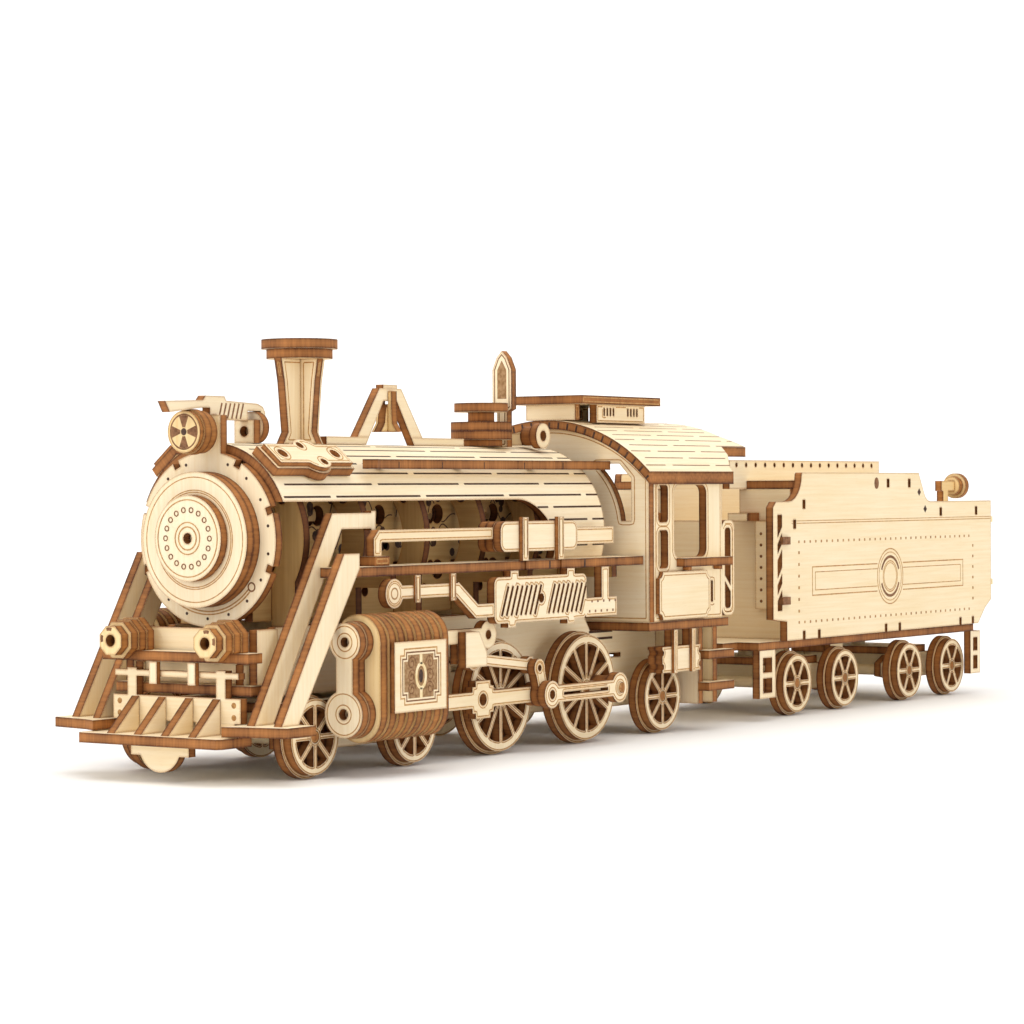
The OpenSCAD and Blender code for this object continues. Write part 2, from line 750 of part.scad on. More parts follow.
// Raised ventilator: a flat lid on louvred side panels and cross bars
module roof_vent() color(sheet) placed() {
    lid_z = 78;
    flat(lid_z) block([115.5, -10.5], [150, 10.5]);
    both_sides() along(-8) difference() {
        block([124, 72.72], [145.2, lid_z - ply / 2 - glue]);
        for (x = [127, 137.4], k = [0:3]) block([x + 1.35 * k, 74.4], [x + 0.6 + 1.35 * k, 76.2]);
    }
    for (x = [119, 147]) across(x) block([-6.9, roof_top + glue], [6.9, lid_z - ply / 2 - glue]);
}

// Armrests under the large windows
module cab_rails() color(sheet) placed() both_sides() {
    outer = side_y + ply / 2 + glue;
    flat(40) block([129.4, -outer - 2.2], [151.6, -outer]);
    for (x = [132, 146]) along(-outer - 0.9, 1.6) block([x, 38.1], [x + 1.4, 39 - glue]);
}

// Injector boxes under the cab floor, with their two straps
module injector_boxes() color(sheet) placed() both_sides() {
    top = floor_z - ply / 2 - glue;
    for (k = [0, 1]) along(-26.4 + k * (ply + glue)) difference() {
        block([123, 14.6], [140, 20.6]);
        for (x = [123, 140], z = [16, 19.2]) dot([x, z], 0.7);
    }
    for (x = [127, 135]) along(-26.4 - ply / 2 - 0.4, 0.7) block([x, 14.4], [x + 1.6, top]);
    for (x = [127, 135]) along(-26.4) block([x, 20.6 + glue], [x + 1.6, top]);
}

// Footsteps behind the trailing wheels, between two upright plates
module cab_steps() color(sheet) placed() both_sides() {
    for (x = [142.4, 149]) across(x) block([-26, 6.4], [-14.05, floor_z - ply / 2 - glue]);
    for (z = [10.5, 18]) flat(z) block([143.4 + glue, -29], [148 - glue, -19]);
    for (z = [10.5, 18]) flat(z) block([141.2, -29], [153, -26 - glue]);
}

// ---------- leading truck ----------

module pilot_truck() color(sheet) placed() {
    both_sides() along(-15.6) difference() {
        polygon([[-5, 6], [6, 5], [28, 5], [38.6, 6], [38.6, 11], [34, 12.9], [0, 12.9], [-5, 11]]);
        for (x = pilot_axles) dot([x, pilot_r], axle_r + running);
    }
    flat(13.95) difference() {
        block([-3.5, -16.6], [37, 16.6]);
        dot([pilot_pivot, 0], 2 + running);
    }
    for (x = [10, 23]) across(x) block([-14.5, 5.5], [14.5, 12.9]);
}

// ---------- tender ----------

// Base plate, footplate, front wall strips, ladders, pivots and the drawbar
module tender_frame() color(sheet) placed() {
    under = tender_base_z - ply / 2 - glue;
    flat(tender_base_z) polygon([
        [163, -20], [170, -20], [170, -26], [289, -26], [289, 26], [170, 26], [170, 20], [163, 20]
    ]);
    both_sides() for (x = [170.6, 287.4]) {
        wide = x < 200 ? 7.8 : 6;
        along(-24.9) difference() {
            block([x, 5.7], [x + wide, under]);
            for (z = [7, 12]) block([x + 1.7, z], [x + wide - 1.7, z + 3.6]);
        }
    }
    for (x = tender_pivots) {
        flat(under - ply / 2) dot([x, 0], 5);
        translate([x, 0, 11]) cylinder(r = 2, h = under - ply - glue - 11);
    }
    along(-9) block([236, 9], [243, under]);
    along(9) block([236, 9], [243, under]);
    flat(15.8) difference() {
        union() {
            block([drawbar_pin, -4], [173, 4]);
            dot([drawbar_pin, 0], 4);
        }
        dot([drawbar_pin, 0], 1.5 + running);
    }
    translate([170, 0, 16.8 + glue]) cylinder(r = 2.4, h = under - 16.8 - 2 * glue);
}

// Side panels with raised middles, slotted front edges and a row of tab slots
module tender_sides() color(sheet) placed() both_sides() along(-tender_y) difference() {
    polygon(concat(
        [[174.7, 24.9], [181.5, 24.2], [181.5, tender_base_z + ply / 2 + glue], [289, 19.6],
         [293.4, 23.8], [297.2, 26], [297.2, 53.4], [260.2, 53.4]],
        [for (a = [0:15:60]) [260.2 - 4.4 * sin(a), 57.8 - 4.4 * cos(a)]],
        [[253.2, 61], [189.6, 61]],
        [for (a = [90:15:180]) [182.4 + 6.8 * sin(a), 60.6 + 6.8 * cos(a)]],
        [[176.2, 53.8], [174.7, 52.4]]
    ));
    difference() {
        block([176.9, 27], [179.1, 50.6]);
        for (z = [30, 34, 40, 44]) bar([176.4, z - 0.5], [179.6, z + 3.5], 1);
    }
    for (x = [189.5, 197.3, 233.5, 241.3, 277.3, 285]) block([x, 19], [x + 1.3, 21.6]);
    for (x = [229.1, 235.6, 247.7]) block([x - 0.7, 57.2], [x + 0.7, 59.4]);
    for (at = [[190.3, 53.1], [185.5, 48.2], [266.2, 50.6], [287.9, 50.7]])
        block([at[0] - 0.7, at[1] - 1.1], [at[0] + 0.7, at[1] + 1.1]);
}

// Walls, decks and the coal bunker between the side panels
module tender_body() color(sheet) placed() {
    floor_top = tender_base_z + ply / 2 + glue;
    in_y = tender_y - ply / 2 - glue;
    across(188) difference() {
        block([-in_y, floor_top], [in_y, 56.9]);
        block([-10.9, 49], [10.9, 60]);
    }
    across(294) block([-in_y, 23], [in_y, 50.9]);
    across(257.5) block([-in_y, 43], [in_y, 56.9]);
    flat(52) block([258.5 + glue, -in_y], [295, in_y]);
    both_sides() flat(58) block([187, -in_y], [258.5, -13 - glue]);
    both_sides() along(-12) difference() {
        block([178.5, 57], [258.3, 64.2]);
        for (k = [0:15]) dot([182 + 4.8 * k, 63], 0.55);
    }
    both_sides() along(-12) block([189 + glue, 45 + glue], [256.5 - glue, 57 - glue]);
    flat(44) block([189 + glue, -in_y], [256.5 - glue, in_y]);
    both_sides() across(186) block([-20, 27], [-16.5, 49]);
    both_sides() flat(50) block([181, -16.6], [186.9, -11]);
}

// Round lamps at the tender's rear corners, on short stubs
module tender_lamps() color(scorched) placed() both_sides() translate([0, -15, 57.5]) {
    across(tail - 1) difference() {
        circle(3.5);
        circle(1);
    }
    across(tail - 3 - glue) circle(2.6);
    translate([290, -1, -1.4]) cube([8 - 2 * glue, 2, 2.8]);
    translate([291, -1, -4.5]) cube([3, 2, 3.1 - glue]);
}

// Outline of a bogie's side frame about its pivot, with both axle holes
module bogie_side(i) {
    half = (tender_axles[2 * i + 1] - tender_axles[2 * i]) / 2;
    translate([tender_pivots[i], 0]) difference() {
        polygon([
            [-half - 4.5, 6.5], [-half + 3, 5.4], [half - 3, 5.4], [half + 4.5, 6.5],
            [half + 4.5, 10], [half, bogie_top_z - 1.02], [-half, bogie_top_z - 1.02], [-half - 4.5, 10]
        ]);
        for (s = [-1, 1]) dot([s * half, tender_r], axle_r + running);
    }
}

// A four-wheeled bogie: two side frames, a bolster and a cross plate
module bogie(i) {
    both_sides() along(-15) bogie_side(i);
    flat(bogie_top_z) difference() {
        block([tender_pivots[i] - 9, -16], [tender_pivots[i] + 9, 16]);
        dot([tender_pivots[i], 0], 2 + running);
    }
    across(tender_pivots[i] - 4.5) block([-13.9, 6], [13.9, bogie_top_z - 1.02]);
    across(tender_pivots[i] + 4.5) block([-13.9, 6], [13.9, bogie_top_z - 1.02]);
}

module tender_bogie_1() color(sheet) placed() bogie(0);
module tender_bogie_2() color(sheet) placed() bogie(1);

chassis_frames();
chassis_stretchers();
front_plate();
front_wings();
cowcatcher_ribs();
front_cross_frame();
lamp_beam();
marker_lamps();
front_braces();
smokebox_ring();
smokebox_door();
boiler_formers();
boiler_skin();
boiler_inner_plates();
boiler_rails();
boiler_plaques();
stack_fins();
stack_caps();
headlamp();
headlamp_board();
bell_frame();
bell();
dome();
whistle();
safety_valves();
running_boards();
air_reservoirs();
steam_pipes();
grille_boxes();
cylinder_blocks();
cylinder_covers();
valve_rods();
crossheads();
valve_links();
radius_rods();
main_rods();
cab_floor();
cab_front_wall();
cab_sides();
cab_roof();
roof_vent();
cab_rails();
injector_boxes();
cab_steps();
pilot_truck();
pilot_wheels_1();
pilot_wheels_2();
driver_wheels_1();
driver_wheels_2();
trailing_wheels();
tender_frame();
tender_sides();
tender_body();
tender_lamps();
tender_bogie_1();
tender_bogie_2();
tender_wheels_1();
tender_wheels_2();
tender_wheels_3();
tender_wheels_4();
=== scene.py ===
# %% [markdown]
# # A laser-cut plywood locomotive and its tender
# Every part of this model is a flat sheet of pale plywood, cut by a laser that browns each edge.
# The CAD frame already holds every plate, dowel and pin in its true place.
# This lesson gives those plates the two faces of laser-cut wood, adds the engraved linework, and lights it.

# %% Load the frame
import json
import math

import bpy
import numpy as np
from mathutils import Matrix, Vector
from mathutils.bvhtree import BVHTree

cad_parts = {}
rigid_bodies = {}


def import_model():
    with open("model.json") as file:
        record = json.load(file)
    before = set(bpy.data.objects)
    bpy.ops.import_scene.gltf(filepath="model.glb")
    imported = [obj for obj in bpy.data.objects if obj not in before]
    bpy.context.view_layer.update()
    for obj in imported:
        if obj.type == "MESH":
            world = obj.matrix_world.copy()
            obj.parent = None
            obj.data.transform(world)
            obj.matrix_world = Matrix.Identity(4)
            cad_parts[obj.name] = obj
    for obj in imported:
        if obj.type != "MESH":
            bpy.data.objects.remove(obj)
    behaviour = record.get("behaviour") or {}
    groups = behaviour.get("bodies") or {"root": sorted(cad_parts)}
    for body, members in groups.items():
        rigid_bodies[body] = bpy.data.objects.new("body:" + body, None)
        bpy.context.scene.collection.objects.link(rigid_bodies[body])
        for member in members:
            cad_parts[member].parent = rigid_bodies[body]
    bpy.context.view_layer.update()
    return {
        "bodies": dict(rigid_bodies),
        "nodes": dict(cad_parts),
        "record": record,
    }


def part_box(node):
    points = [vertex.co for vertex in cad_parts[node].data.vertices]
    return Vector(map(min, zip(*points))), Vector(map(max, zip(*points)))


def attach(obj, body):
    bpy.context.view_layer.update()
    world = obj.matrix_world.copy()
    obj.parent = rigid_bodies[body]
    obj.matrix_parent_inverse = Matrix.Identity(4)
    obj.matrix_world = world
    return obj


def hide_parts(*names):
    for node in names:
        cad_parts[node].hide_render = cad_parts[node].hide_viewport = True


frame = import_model()

# %% [markdown]
# Lengths along the train are easiest to read as stations, counted in millimetres from the leading axle.
# The frame's origin lies half way along the whole model, so one helper turns a station into the frame's metres.

# %% Places and sizes used everywhere
MM = 0.001
MIDDLE = 138.5
PLY = 2.0
BOILER_Z, BOILER_R = 47.5, 19.4
ROOF_Z, ROOF_R = 33.3, 40.0
X_AXIS, Y_AXIS, Z_AXIS = np.eye(3)
FRONT, NEAR = -X_AXIS, -Y_AXIS
SIDES = (NEAR, -NEAR)


def place(points):
    """Points given as (station, y, z) in millimetres, as an array of metres in the frame."""
    return (np.asarray(points, float).reshape(-1, 3) - [MIDDLE, 0, 0]) * MM


def corners_of(node):
    """A node's lowest and highest corners, as stations and millimetres."""
    return [np.array(corner) / MM + [MIDDLE, 0, 0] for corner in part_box(node)]


def new_mesh(name, points, faces):
    """A mesh object at the origin from points in metres and faces as rows of corner numbers."""
    mesh = bpy.data.meshes.new(name)
    mesh.from_pydata(points.tolist(), [], [list(map(int, f)) for f in faces])
    mesh.update()
    made = bpy.data.objects.new(name, mesh)
    bpy.context.scene.collection.objects.link(made)
    return made


print("engine from", corners_of("front_plate")[0].round(1), "to", corners_of("cab_roof")[1].round(1))

# %% [markdown]
# ## Plywood
# A laser leaves two very different surfaces on one sheet.
# The faces stay pale, with long grain and a toasted line beside each cut.
# The cut edges turn brown, and show the layers of the sheet and fine stripes where the beam passed.
# Both come from one node group, so that every material shares the same wood.
# The group reads three attributes that the mesh carries: where a point lies in its own sheet,
# whether its face is a cut, and a random tone for each plate.

# %% Helpers for nodes


def linear(code):
    """A colour written as a web code, turned from sRGB to linear light."""
    c = np.array([int(code[i : i + 2], 16) for i in (1, 3, 5)]) / 255
    return (*np.where(c <= 0.04045, c / 12.92, ((c + 0.055) / 1.055) ** 2.4), 1.0)


def add(tree, kind, values=None, **settings):
    """A node with its settings, whose inputs take the values given by number or name."""
    made = tree.nodes.new(kind)
    for key, value in settings.items():
        setattr(made, key, value)
    for key, value in (values or {}).items():
        if isinstance(value, bpy.types.NodeSocket):
            tree.links.new(value, made.inputs[key])
        else:
            made.inputs[key].default_value = value
    return made


def maths(tree, operation, a, b=0.0, clamp=False):
    """One Math node's result."""
    return add(tree, "ShaderNodeMath", {0: a, 1: b}, operation=operation, use_clamp=clamp).outputs[0]


def blend_colour(tree, share, a, b, how="MIX"):
    """Two colours mixed by a share."""
    made = add(tree, "ShaderNodeMix", {"Factor": share}, data_type="RGBA", blend_type=how)
    for socket, value in ((made.inputs[6], a), (made.inputs[7], b)):
        if isinstance(value, bpy.types.NodeSocket):
            tree.links.new(value, socket)
        else:
            socket.default_value = value
    return made.outputs[2]


def weighted(tree, *parts, clamp=False):
    """The sum of some values, each times its own share, held to 0..1 if asked."""
    total = maths(tree, "MULTIPLY", *parts[0])
    for value, share in parts[1:]:
        total = maths(tree, "ADD", total, maths(tree, "MULTIPLY", value, share), clamp)
    return total


def stretched_noise(tree, where, scale, detail=2.0):
    """Noise whose vector is stretched by a factor on each axis."""
    moved = add(tree, "ShaderNodeVectorMath", {0: where, 1: scale}, operation="MULTIPLY").outputs[0]
    values = {"Vector": moved, "Scale": 1.0, "Detail": detail, "Roughness": 0.55}
    return add(tree, "ShaderNodeTexNoise", values).outputs["Fac"]


def ramp(tree, value, low, high):
    """A value mapped from low..high to 0..1 and held there."""
    values = {"Value": value, "From Min": low, "From Max": high}
    return add(tree, "ShaderNodeMapRange", values, clamp=True).outputs[0]


def new_material(name):
    """A material with its node tree and its shader."""
    made = bpy.data.materials.new(name)
    made.use_nodes = True
    return made, made.node_tree, made.node_tree.nodes["Principled BSDF"]


print("a mid brown in linear light", [round(float(c), 3) for c in linear("#8F5A2B")])


# %% The plywood group
# how each pattern is stretched: waves per millimetre along the grain, across it, and through the sheet
GRAIN, PORES, BLOTCHES = (0.05, 1.3, 0.0), (0.45, 7.0, 0.0), (0.03, 0.07, 0.0)
BEAM_STRIPES, LONG_TONE = (1.7, 1.7, 0.35), (0.14, 0.14, 0.0)
PORE_BROWN, TOAST_GOLD, RIM_BROWN = "#C79B5E", "#D9A75C", "#8F5A2B"
TOAST_REACH = 0.85
GLUE_LINE = 0.17


def plywood_group():
    """Colour, roughness and height of laser-cut plywood, from the attributes that each plate carries."""
    group = bpy.data.node_groups.new("laser_cut_plywood", "ShaderNodeTree")
    for name, kind in (
        ("Face pale", "NodeSocketColor"),
        ("Face warm", "NodeSocketColor"),
        ("Cut bright", "NodeSocketColor"),
        ("Cut dark", "NodeSocketColor"),
        ("Toast", "NodeSocketFloat"),
    ):
        group.interface.new_socket(name, in_out="INPUT", socket_type=kind)
    for name, kind in (
        ("Colour", "NodeSocketColor"),
        ("Roughness", "NodeSocketFloat"),
        ("Height", "NodeSocketFloat"),
    ):
        group.interface.new_socket(name, in_out="OUTPUT", socket_type=kind)
    given = group.nodes.new("NodeGroupInput").outputs
    sheet = add(group, "ShaderNodeAttribute", attribute_name="sheet").outputs["Vector"]
    cut = add(group, "ShaderNodeAttribute", attribute_name="cut").outputs["Fac"]
    tone = add(group, "ShaderNodeAttribute", attribute_name="tone").outputs["Fac"]
    depth = add(group, "ShaderNodeSeparateXYZ", {0: sheet}).outputs[2]
    # pale faces: long grain, short pores and slow blotches
    grain = ramp(group, stretched_noise(group, sheet, GRAIN, 5.0), 0.35, 0.7)
    pores = ramp(group, stretched_noise(group, sheet, PORES), 0.6, 0.78)
    blotch = ramp(group, stretched_noise(group, sheet, BLOTCHES), 0.3, 0.7)
    warmth = weighted(group, (grain, 0.42), (blotch, 0.22), (tone, 0.3), clamp=True)
    face = blend_colour(group, warmth, given["Face pale"], given["Face warm"])
    face = blend_colour(group, maths(group, "MULTIPLY", pores, 0.28), face, linear(PORE_BROWN))
    # the toasted line beside a cut: where a rounded normal would lean away from the true one
    rounded = add(group, "ShaderNodeBevel", {"Radius": TOAST_REACH * MM}, samples=4).outputs[0]
    true = add(group, "ShaderNodeNewGeometry").outputs["True Normal"]
    lean = add(group, "ShaderNodeVectorMath", {0: rounded, 1: true}, operation="DOT_PRODUCT")
    lean = lean.outputs["Value"]
    beside = maths(group, "MULTIPLY", ramp(group, lean, 0.9995, 0.93), given["Toast"], clamp=True)
    rim_burn = maths(group, "MULTIPLY", ramp(group, lean, 0.9, 0.76), given["Toast"], clamp=True)
    face = blend_colour(group, maths(group, "MULTIPLY", beside, 0.55), face, linear(TOAST_GOLD))
    face = blend_colour(group, rim_burn, face, linear(RIM_BROWN))
    # brown cuts: layers of the sheet, stripes from the beam and soot towards the lower face
    stripes = ramp(group, stretched_noise(group, sheet, BEAM_STRIPES), 0.3, 0.7)
    long_tone = ramp(group, stretched_noise(group, sheet, LONG_TONE), 0.3, 0.7)
    from_core = maths(group, "ABSOLUTE", maths(group, "SUBTRACT", depth, 0.5))
    from_glue = maths(group, "ABSOLUTE", maths(group, "SUBTRACT", from_core, GLUE_LINE))
    glue = maths(group, "SUBTRACT", 1.0, ramp(group, from_glue, 0.0, 0.05))
    rim = ramp(group, from_core, 0.22, 0.5)
    soot = weighted(group, (stripes, 0.3), (long_tone, 0.4), (glue, 0.16), (rim, 0.6), clamp=True)
    browned = blend_colour(group, soot, given["Cut bright"], given["Cut dark"])
    colour = blend_colour(group, cut, face, browned)
    rough = maths(group, "ADD", weighted(group, (cut, 0.14), (grain, 0.1)), 0.52)
    face_height = weighted(group, (grain, 0.3), (pores, -0.5))
    height = add(group, "ShaderNodeMix", {0: cut, 2: face_height, 3: stripes}, data_type="FLOAT").outputs[0]
    put = group.nodes.new("NodeGroupOutput").inputs
    for socket, value in (("Colour", colour), ("Roughness", rough), ("Height", height)):
        group.links.new(value, put[socket])
    return group


PLYWOOD = plywood_group()


GRAIN_DEPTH = 0.03


def plywood(name, pale, warm, bright, dark, toast=0.75):
    """A plywood finish: two face colours, two cut colours and how strongly the faces are toasted."""
    made, tree, shader = new_material(name)
    wood = add(tree, "ShaderNodeGroup", node_tree=PLYWOOD)
    for socket, value in zip(("Face pale", "Face warm", "Cut bright", "Cut dark"), (pale, warm, bright, dark)):
        wood.inputs[socket].default_value = linear(value)
    wood.inputs["Toast"].default_value = toast
    values = {"Height": wood.outputs["Height"], "Strength": 0.5, "Distance": GRAIN_DEPTH * MM}
    relief = add(tree, "ShaderNodeBump", values)
    tree.links.new(wood.outputs["Colour"], shader.inputs["Base Color"])
    tree.links.new(wood.outputs["Roughness"], shader.inputs["Roughness"])
    tree.links.new(relief.outputs[0], shader.inputs["Normal"])
    shader.inputs["Specular IOR Level"].default_value = 0.3
    return made


BIRCH = plywood("birch_sheet", "#F7E8CB", "#E9D0A2", "#B67840", "#47220E")
GOLDEN = plywood("golden_edge_sheet", "#F0D8A6", "#DDB97C", "#B97B3D", "#4F260E", toast=1.0)
# painted shade: a darker copy of the birch for the plates inside the boiler, standing in for the shade they lie in
PAINTED_SHADE_SHEET = plywood("inner_sheet_painted_shade", "#CBAA74", "#A67F4A", "#7E4B25", "#371A0A")
print("materials", [m.name for m in (BIRCH, GOLDEN, PAINTED_SHADE_SHEET)])

# %% [markdown]
# ## Every plate as its own piece of sheet
# The CAD gives each node as loose triangles that may hold several plates.
# The shape is already right, so nothing is remodelled: a copy is merged, its separate solids are found,
# and each solid is asked which way its sheet lies.
# A face looking that way is a sheet face, and any other is a cut.
# The bent boiler skin and roof have no single direction, so there the sheet's way is outwards from the axis.

# %% Solids and their sheets


def merged(node):
    """Points and triangles of a CAD node with equal corners merged, and the solid of each triangle.
    Labels spread along the triangles until each solid has one number."""
    mesh = frame["nodes"][node].data
    flat = np.zeros(len(mesh.vertices) * 3, np.float32)
    mesh.vertices.foreach_get("co", flat)
    corners = np.zeros(len(mesh.loops), np.int32)
    mesh.loops.foreach_get("vertex_index", corners)
    keys = np.round(flat.reshape(-1, 3).astype(float) * 1e7).astype(np.int64)
    unique, inverse = np.unique(keys, axis=0, return_inverse=True)
    triangles = inverse.reshape(-1)[corners].reshape(-1, 3)
    whole = (
        (triangles[:, 0] != triangles[:, 1])
        & (triangles[:, 1] != triangles[:, 2])
        & (triangles[:, 0] != triangles[:, 2])
    )
    triangles = triangles[whole]
    label = np.arange(len(unique))
    while True:
        spread = label.copy()
        np.minimum.at(spread, triangles.ravel(), np.repeat(label[triangles].min(1), 3))
        spread = spread[spread]
        if (spread == label).all():
            break
        label = spread
    return unique / 1e7, triangles, label[triangles[:, 0]]


def sheet_way(points, triangles, normals, areas):
    """The direction through one solid's sheet, as a unit vector, and whether the solid is a turned dowel.
    An axis along which the solid is one sheet thick wins; otherwise it is the way most of its area looks."""
    spread = (normals[:, :, None] * normals[:, None, :] * areas[:, None, None]).sum(0)
    used = points[np.unique(triangles)] / MM
    extent = used.max(0) - used.min(0)
    thin = [k for k in range(3) if abs(extent[k] - PLY) < 0.07 or extent[k] < 1.3]
    if thin:
        best = max(thin, key=lambda k: spread[k, k])
        return np.eye(3)[best], False
    values, ways = np.linalg.eigh(spread)
    share = values / values.sum()
    return ways[:, 2], bool(share[2] < 0.56 and abs(share[2] - share[1]) < 0.12)


BENT = {"boiler_skin": (BOILER_Z, BOILER_R), "cab_roof": (ROOF_Z, ROOF_R)}


def dressed(node, material, rng):
    """A merged copy of a CAD node with its sheet, cut and tone attributes and a material."""
    points, triangles, solid = merged(node)
    a, b, c = (points[triangles[:, k]] for k in range(3))
    cross = np.cross(b - a, c - a)
    length = np.linalg.norm(cross, axis=1)
    normals = cross / np.maximum(length, 1e-20)[:, None]
    sheet = np.zeros((len(triangles), 3, 3))
    cut = np.zeros(len(triangles))
    tone = np.zeros(len(triangles))
    for number in np.unique(solid):
        mine = solid == number
        tris = triangles[mine]
        corners = points[tris] / MM
        if node in BENT:
            axis_z, radius = BENT[node]
            middle = corners.mean(1)
            out = np.c_[np.zeros(len(tris)), middle[:, 1], middle[:, 2] - axis_z]
            out /= np.linalg.norm(out, axis=1)[:, None]
            facing = np.abs((normals[mine] * out).sum(1)) > 0.8
            angle = np.arctan2(corners[:, :, 1], corners[:, :, 2] - axis_z)
            far = np.hypot(corners[:, :, 1], corners[:, :, 2] - axis_z)
            own = np.stack([corners[:, :, 0], angle * radius, (radius - far) / PLY], axis=2)
        else:
            way, turned = sheet_way(points, tris, normals[mine], length[mine])
            spans = np.ptp(corners.reshape(-1, 3), axis=0) * (1 - np.abs(way))
            along = np.eye(3)[int(np.argmax(spans))]
            along = along - way * (along @ way)
            along /= np.linalg.norm(along)
            across = np.cross(way, along)
            depth = corners @ way
            depth = (depth - depth.min()) / max(np.ptp(depth), 1e-9)
            own = np.stack([corners @ along, corners @ across, depth], axis=2)
            facing = np.abs(normals[mine] @ way) > 0.9
            if turned:
                facing = np.abs(normals[mine] @ along) < 0.5
        sheet[mine] = own + [*rng.uniform(0, 900, 2), 0]
        cut[mine] = ~facing
        tone[mine] = rng.uniform()
    copy = new_mesh(node + "_ply", points, triangles)
    for name, kind, values in (
        ("sheet", "FLOAT_VECTOR", sheet.ravel()),
        ("cut", "FLOAT", np.repeat(cut, 3)),
        ("tone", "FLOAT", np.repeat(tone, 3)),
    ):
        made = copy.data.attributes.new(name, kind, "CORNER")
        made.data.foreach_set("vector" if kind == "FLOAT_VECTOR" else "value", values.astype(np.float32))
    copy.data.materials.append(material)
    return copy


# %% [markdown]
# Most sheets are pale birch. The turned drums and thick stacks are browner, and the plates inside the boiler
# get darker colours that paint the shade they lie in. Each dressed copy rides on its node's body and stands for
# that node.

# %% Dress every node
SCORCHED = {"cylinder_blocks", "marker_lamps", "headlamp", "bell", "tender_lamps"}
INNER = {"boiler_inner_plates", "boiler_formers"}
body_of_node = {n: body for body, nodes in frame["record"]["behaviour"]["bodies"].items() for n in nodes}
rng = np.random.default_rng(11)
for node in sorted(frame["nodes"]):
    # the plates inside the boiler take the darker copy whose colours paint their shade
    finish = GOLDEN if node in SCORCHED else PAINTED_SHADE_SHEET if node in INNER else BIRCH
    piece = dressed(node, finish, rng)
    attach(piece, body_of_node[node])
    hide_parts(node)
print("plates dressed", len(frame["nodes"]))

# %% [markdown]
# ## Engraved lines
# The laser also draws: with less power it only toasts the surface into a thin brown line.
# Each line is modelled as a very thin strip lying on its plate, a few hundredths of a millimetre proud.
# A strip follows a path of points on the surface, and its width lies across the path and in the surface.
# Dark slits and pin holes are made the same way, with a darker finish: partly the char of the cut walls, partly
# painted shade standing in for the open gap.

# %% Engraving materials


def burnt(name, light, dark, scale=1400.0):
    """Toasted wood: two browns mixed by fine noise on the object's own coordinates."""
    made, tree, shader = new_material(name)
    where = add(tree, "ShaderNodeTexCoord").outputs["Object"]
    values = {"Vector": where, "Scale": scale, "Detail": 2.0}
    speckle = add(tree, "ShaderNodeTexNoise", values).outputs["Fac"]
    share = ramp(tree, speckle, 0.35, 0.65)
    tree.links.new(blend_colour(tree, share, linear(light), linear(dark)), shader.inputs["Base Color"])
    tree.links.new(ramp(tree, speckle, -0.8, 1.2), shader.inputs["Roughness"])
    return made


LINE = burnt("engraved_line", "#C79A5C", "#A87740")
DARK_LINE = burnt("deep_engraved_line", "#8A5C35", "#68401F")
# painted shade: the near-black of slits and holes stands in for the shade inside each gap, on top of the charred
# cut walls
SLIT = burnt("slit_char_and_painted_gap_shade", "#4C2C16", "#2E190B")
FIELD = burnt("engraved_field", "#A98459", "#876238")
PEG_WOOD = burnt("bare_wood", "#F2E0B8", "#E4CA94", scale=500.0)
RIVET = burnt("toasted_dot", "#B98A4C", "#94642F")
print("engraving finishes", [m.name for m in (LINE, DARK_LINE, SLIT, FIELD, PEG_WOOD, RIVET)])

# %% Strips and studs
bundles = {}


def keep(bundle, points, faces):
    """Puts a closed shape, in stations and millimetres, into a named bundle that becomes one object."""
    bundles.setdefault(bundle, []).append((np.asarray(points, float), faces))


def box_faces(count, closed):
    """Quads of a strip with four corners at each of its points: top, bottom and both sides."""
    steps = np.arange(count if closed else count - 1)
    nxt = (steps + 1) % count
    around = ((0, 1), (1, 2), (2, 3), (3, 0))
    faces = np.concatenate([np.c_[steps * 4 + a, steps * 4 + b, nxt * 4 + b, nxt * 4 + a] for a, b in around])
    if not closed:
        last = 4 * (count - 1)
        faces = np.concatenate([faces, [[3, 2, 1, 0], [last, last + 1, last + 2, last + 3]]])
    return faces


def drum_faces(count):
    """Walls, top and bottom of a closed drum: the top ring of corners comes first, the bottom ring second."""
    n = np.arange(count)
    ahead = (n + 1) % count
    return [*np.c_[n, n + count, ahead + count, ahead], range(count), range(2 * count - 1, count - 1, -1)]


def strip(bundle, path, out, width=0.3, proud=0.03, closed=False):
    """A flat strip along a path. Its sides are the path moved half a width along (out x tangent),
    its top is that moved outwards by its proudness, and its bottom is sunk by the same."""
    path = np.asarray(path, float)
    out = np.broadcast_to(np.asarray(out, float), path.shape)
    if closed:
        ahead, behind = np.roll(path, -1, 0) - path, path - np.roll(path, 1, 0)
    else:
        steps = np.diff(path, axis=0)
        ahead, behind = np.r_[steps, steps[-1:]], np.r_[steps[:1], steps]
    ahead = ahead / np.linalg.norm(ahead, axis=1)[:, None]
    behind = behind / np.linalg.norm(behind, axis=1)[:, None]
    tangent = ahead + behind
    length = np.linalg.norm(tangent, axis=1)
    tangent /= np.maximum(length, 1e-6)[:, None]
    across = np.cross(out, tangent)
    across *= (width / 2 / np.clip(length / 2, 0.35, 1))[:, None]
    up = out * proud
    left, right = path + across, path - across
    ring = np.stack([left + up, left - up, right - up, right + up], axis=1)
    keep(bundle, ring.reshape(-1, 3), box_faces(len(path), closed)[:, ::-1])


def stud(bundle, centre, out, radius, sides=8, proud=0.04, stretch=1.0, turn=0.0):
    """A low disc on a surface: a ring of corners round its axis, and the same ring sunk below."""
    out = np.asarray(out, float)
    u = np.cross(out, Z_AXIS) if abs(out[2]) < 0.9 else X_AXIS - out * out[0]
    u = u / np.linalg.norm(u)
    v = np.cross(out, u)
    angle = np.arange(sides) * math.tau / sides + turn
    ring = np.outer(np.cos(angle) * radius, u) + np.outer(np.sin(angle) * radius * stretch, v)
    centre = np.asarray(centre, float)
    points = np.concatenate([centre + ring + out * proud, centre + ring - out * proud])
    keep(bundle, points, drum_faces(sides))


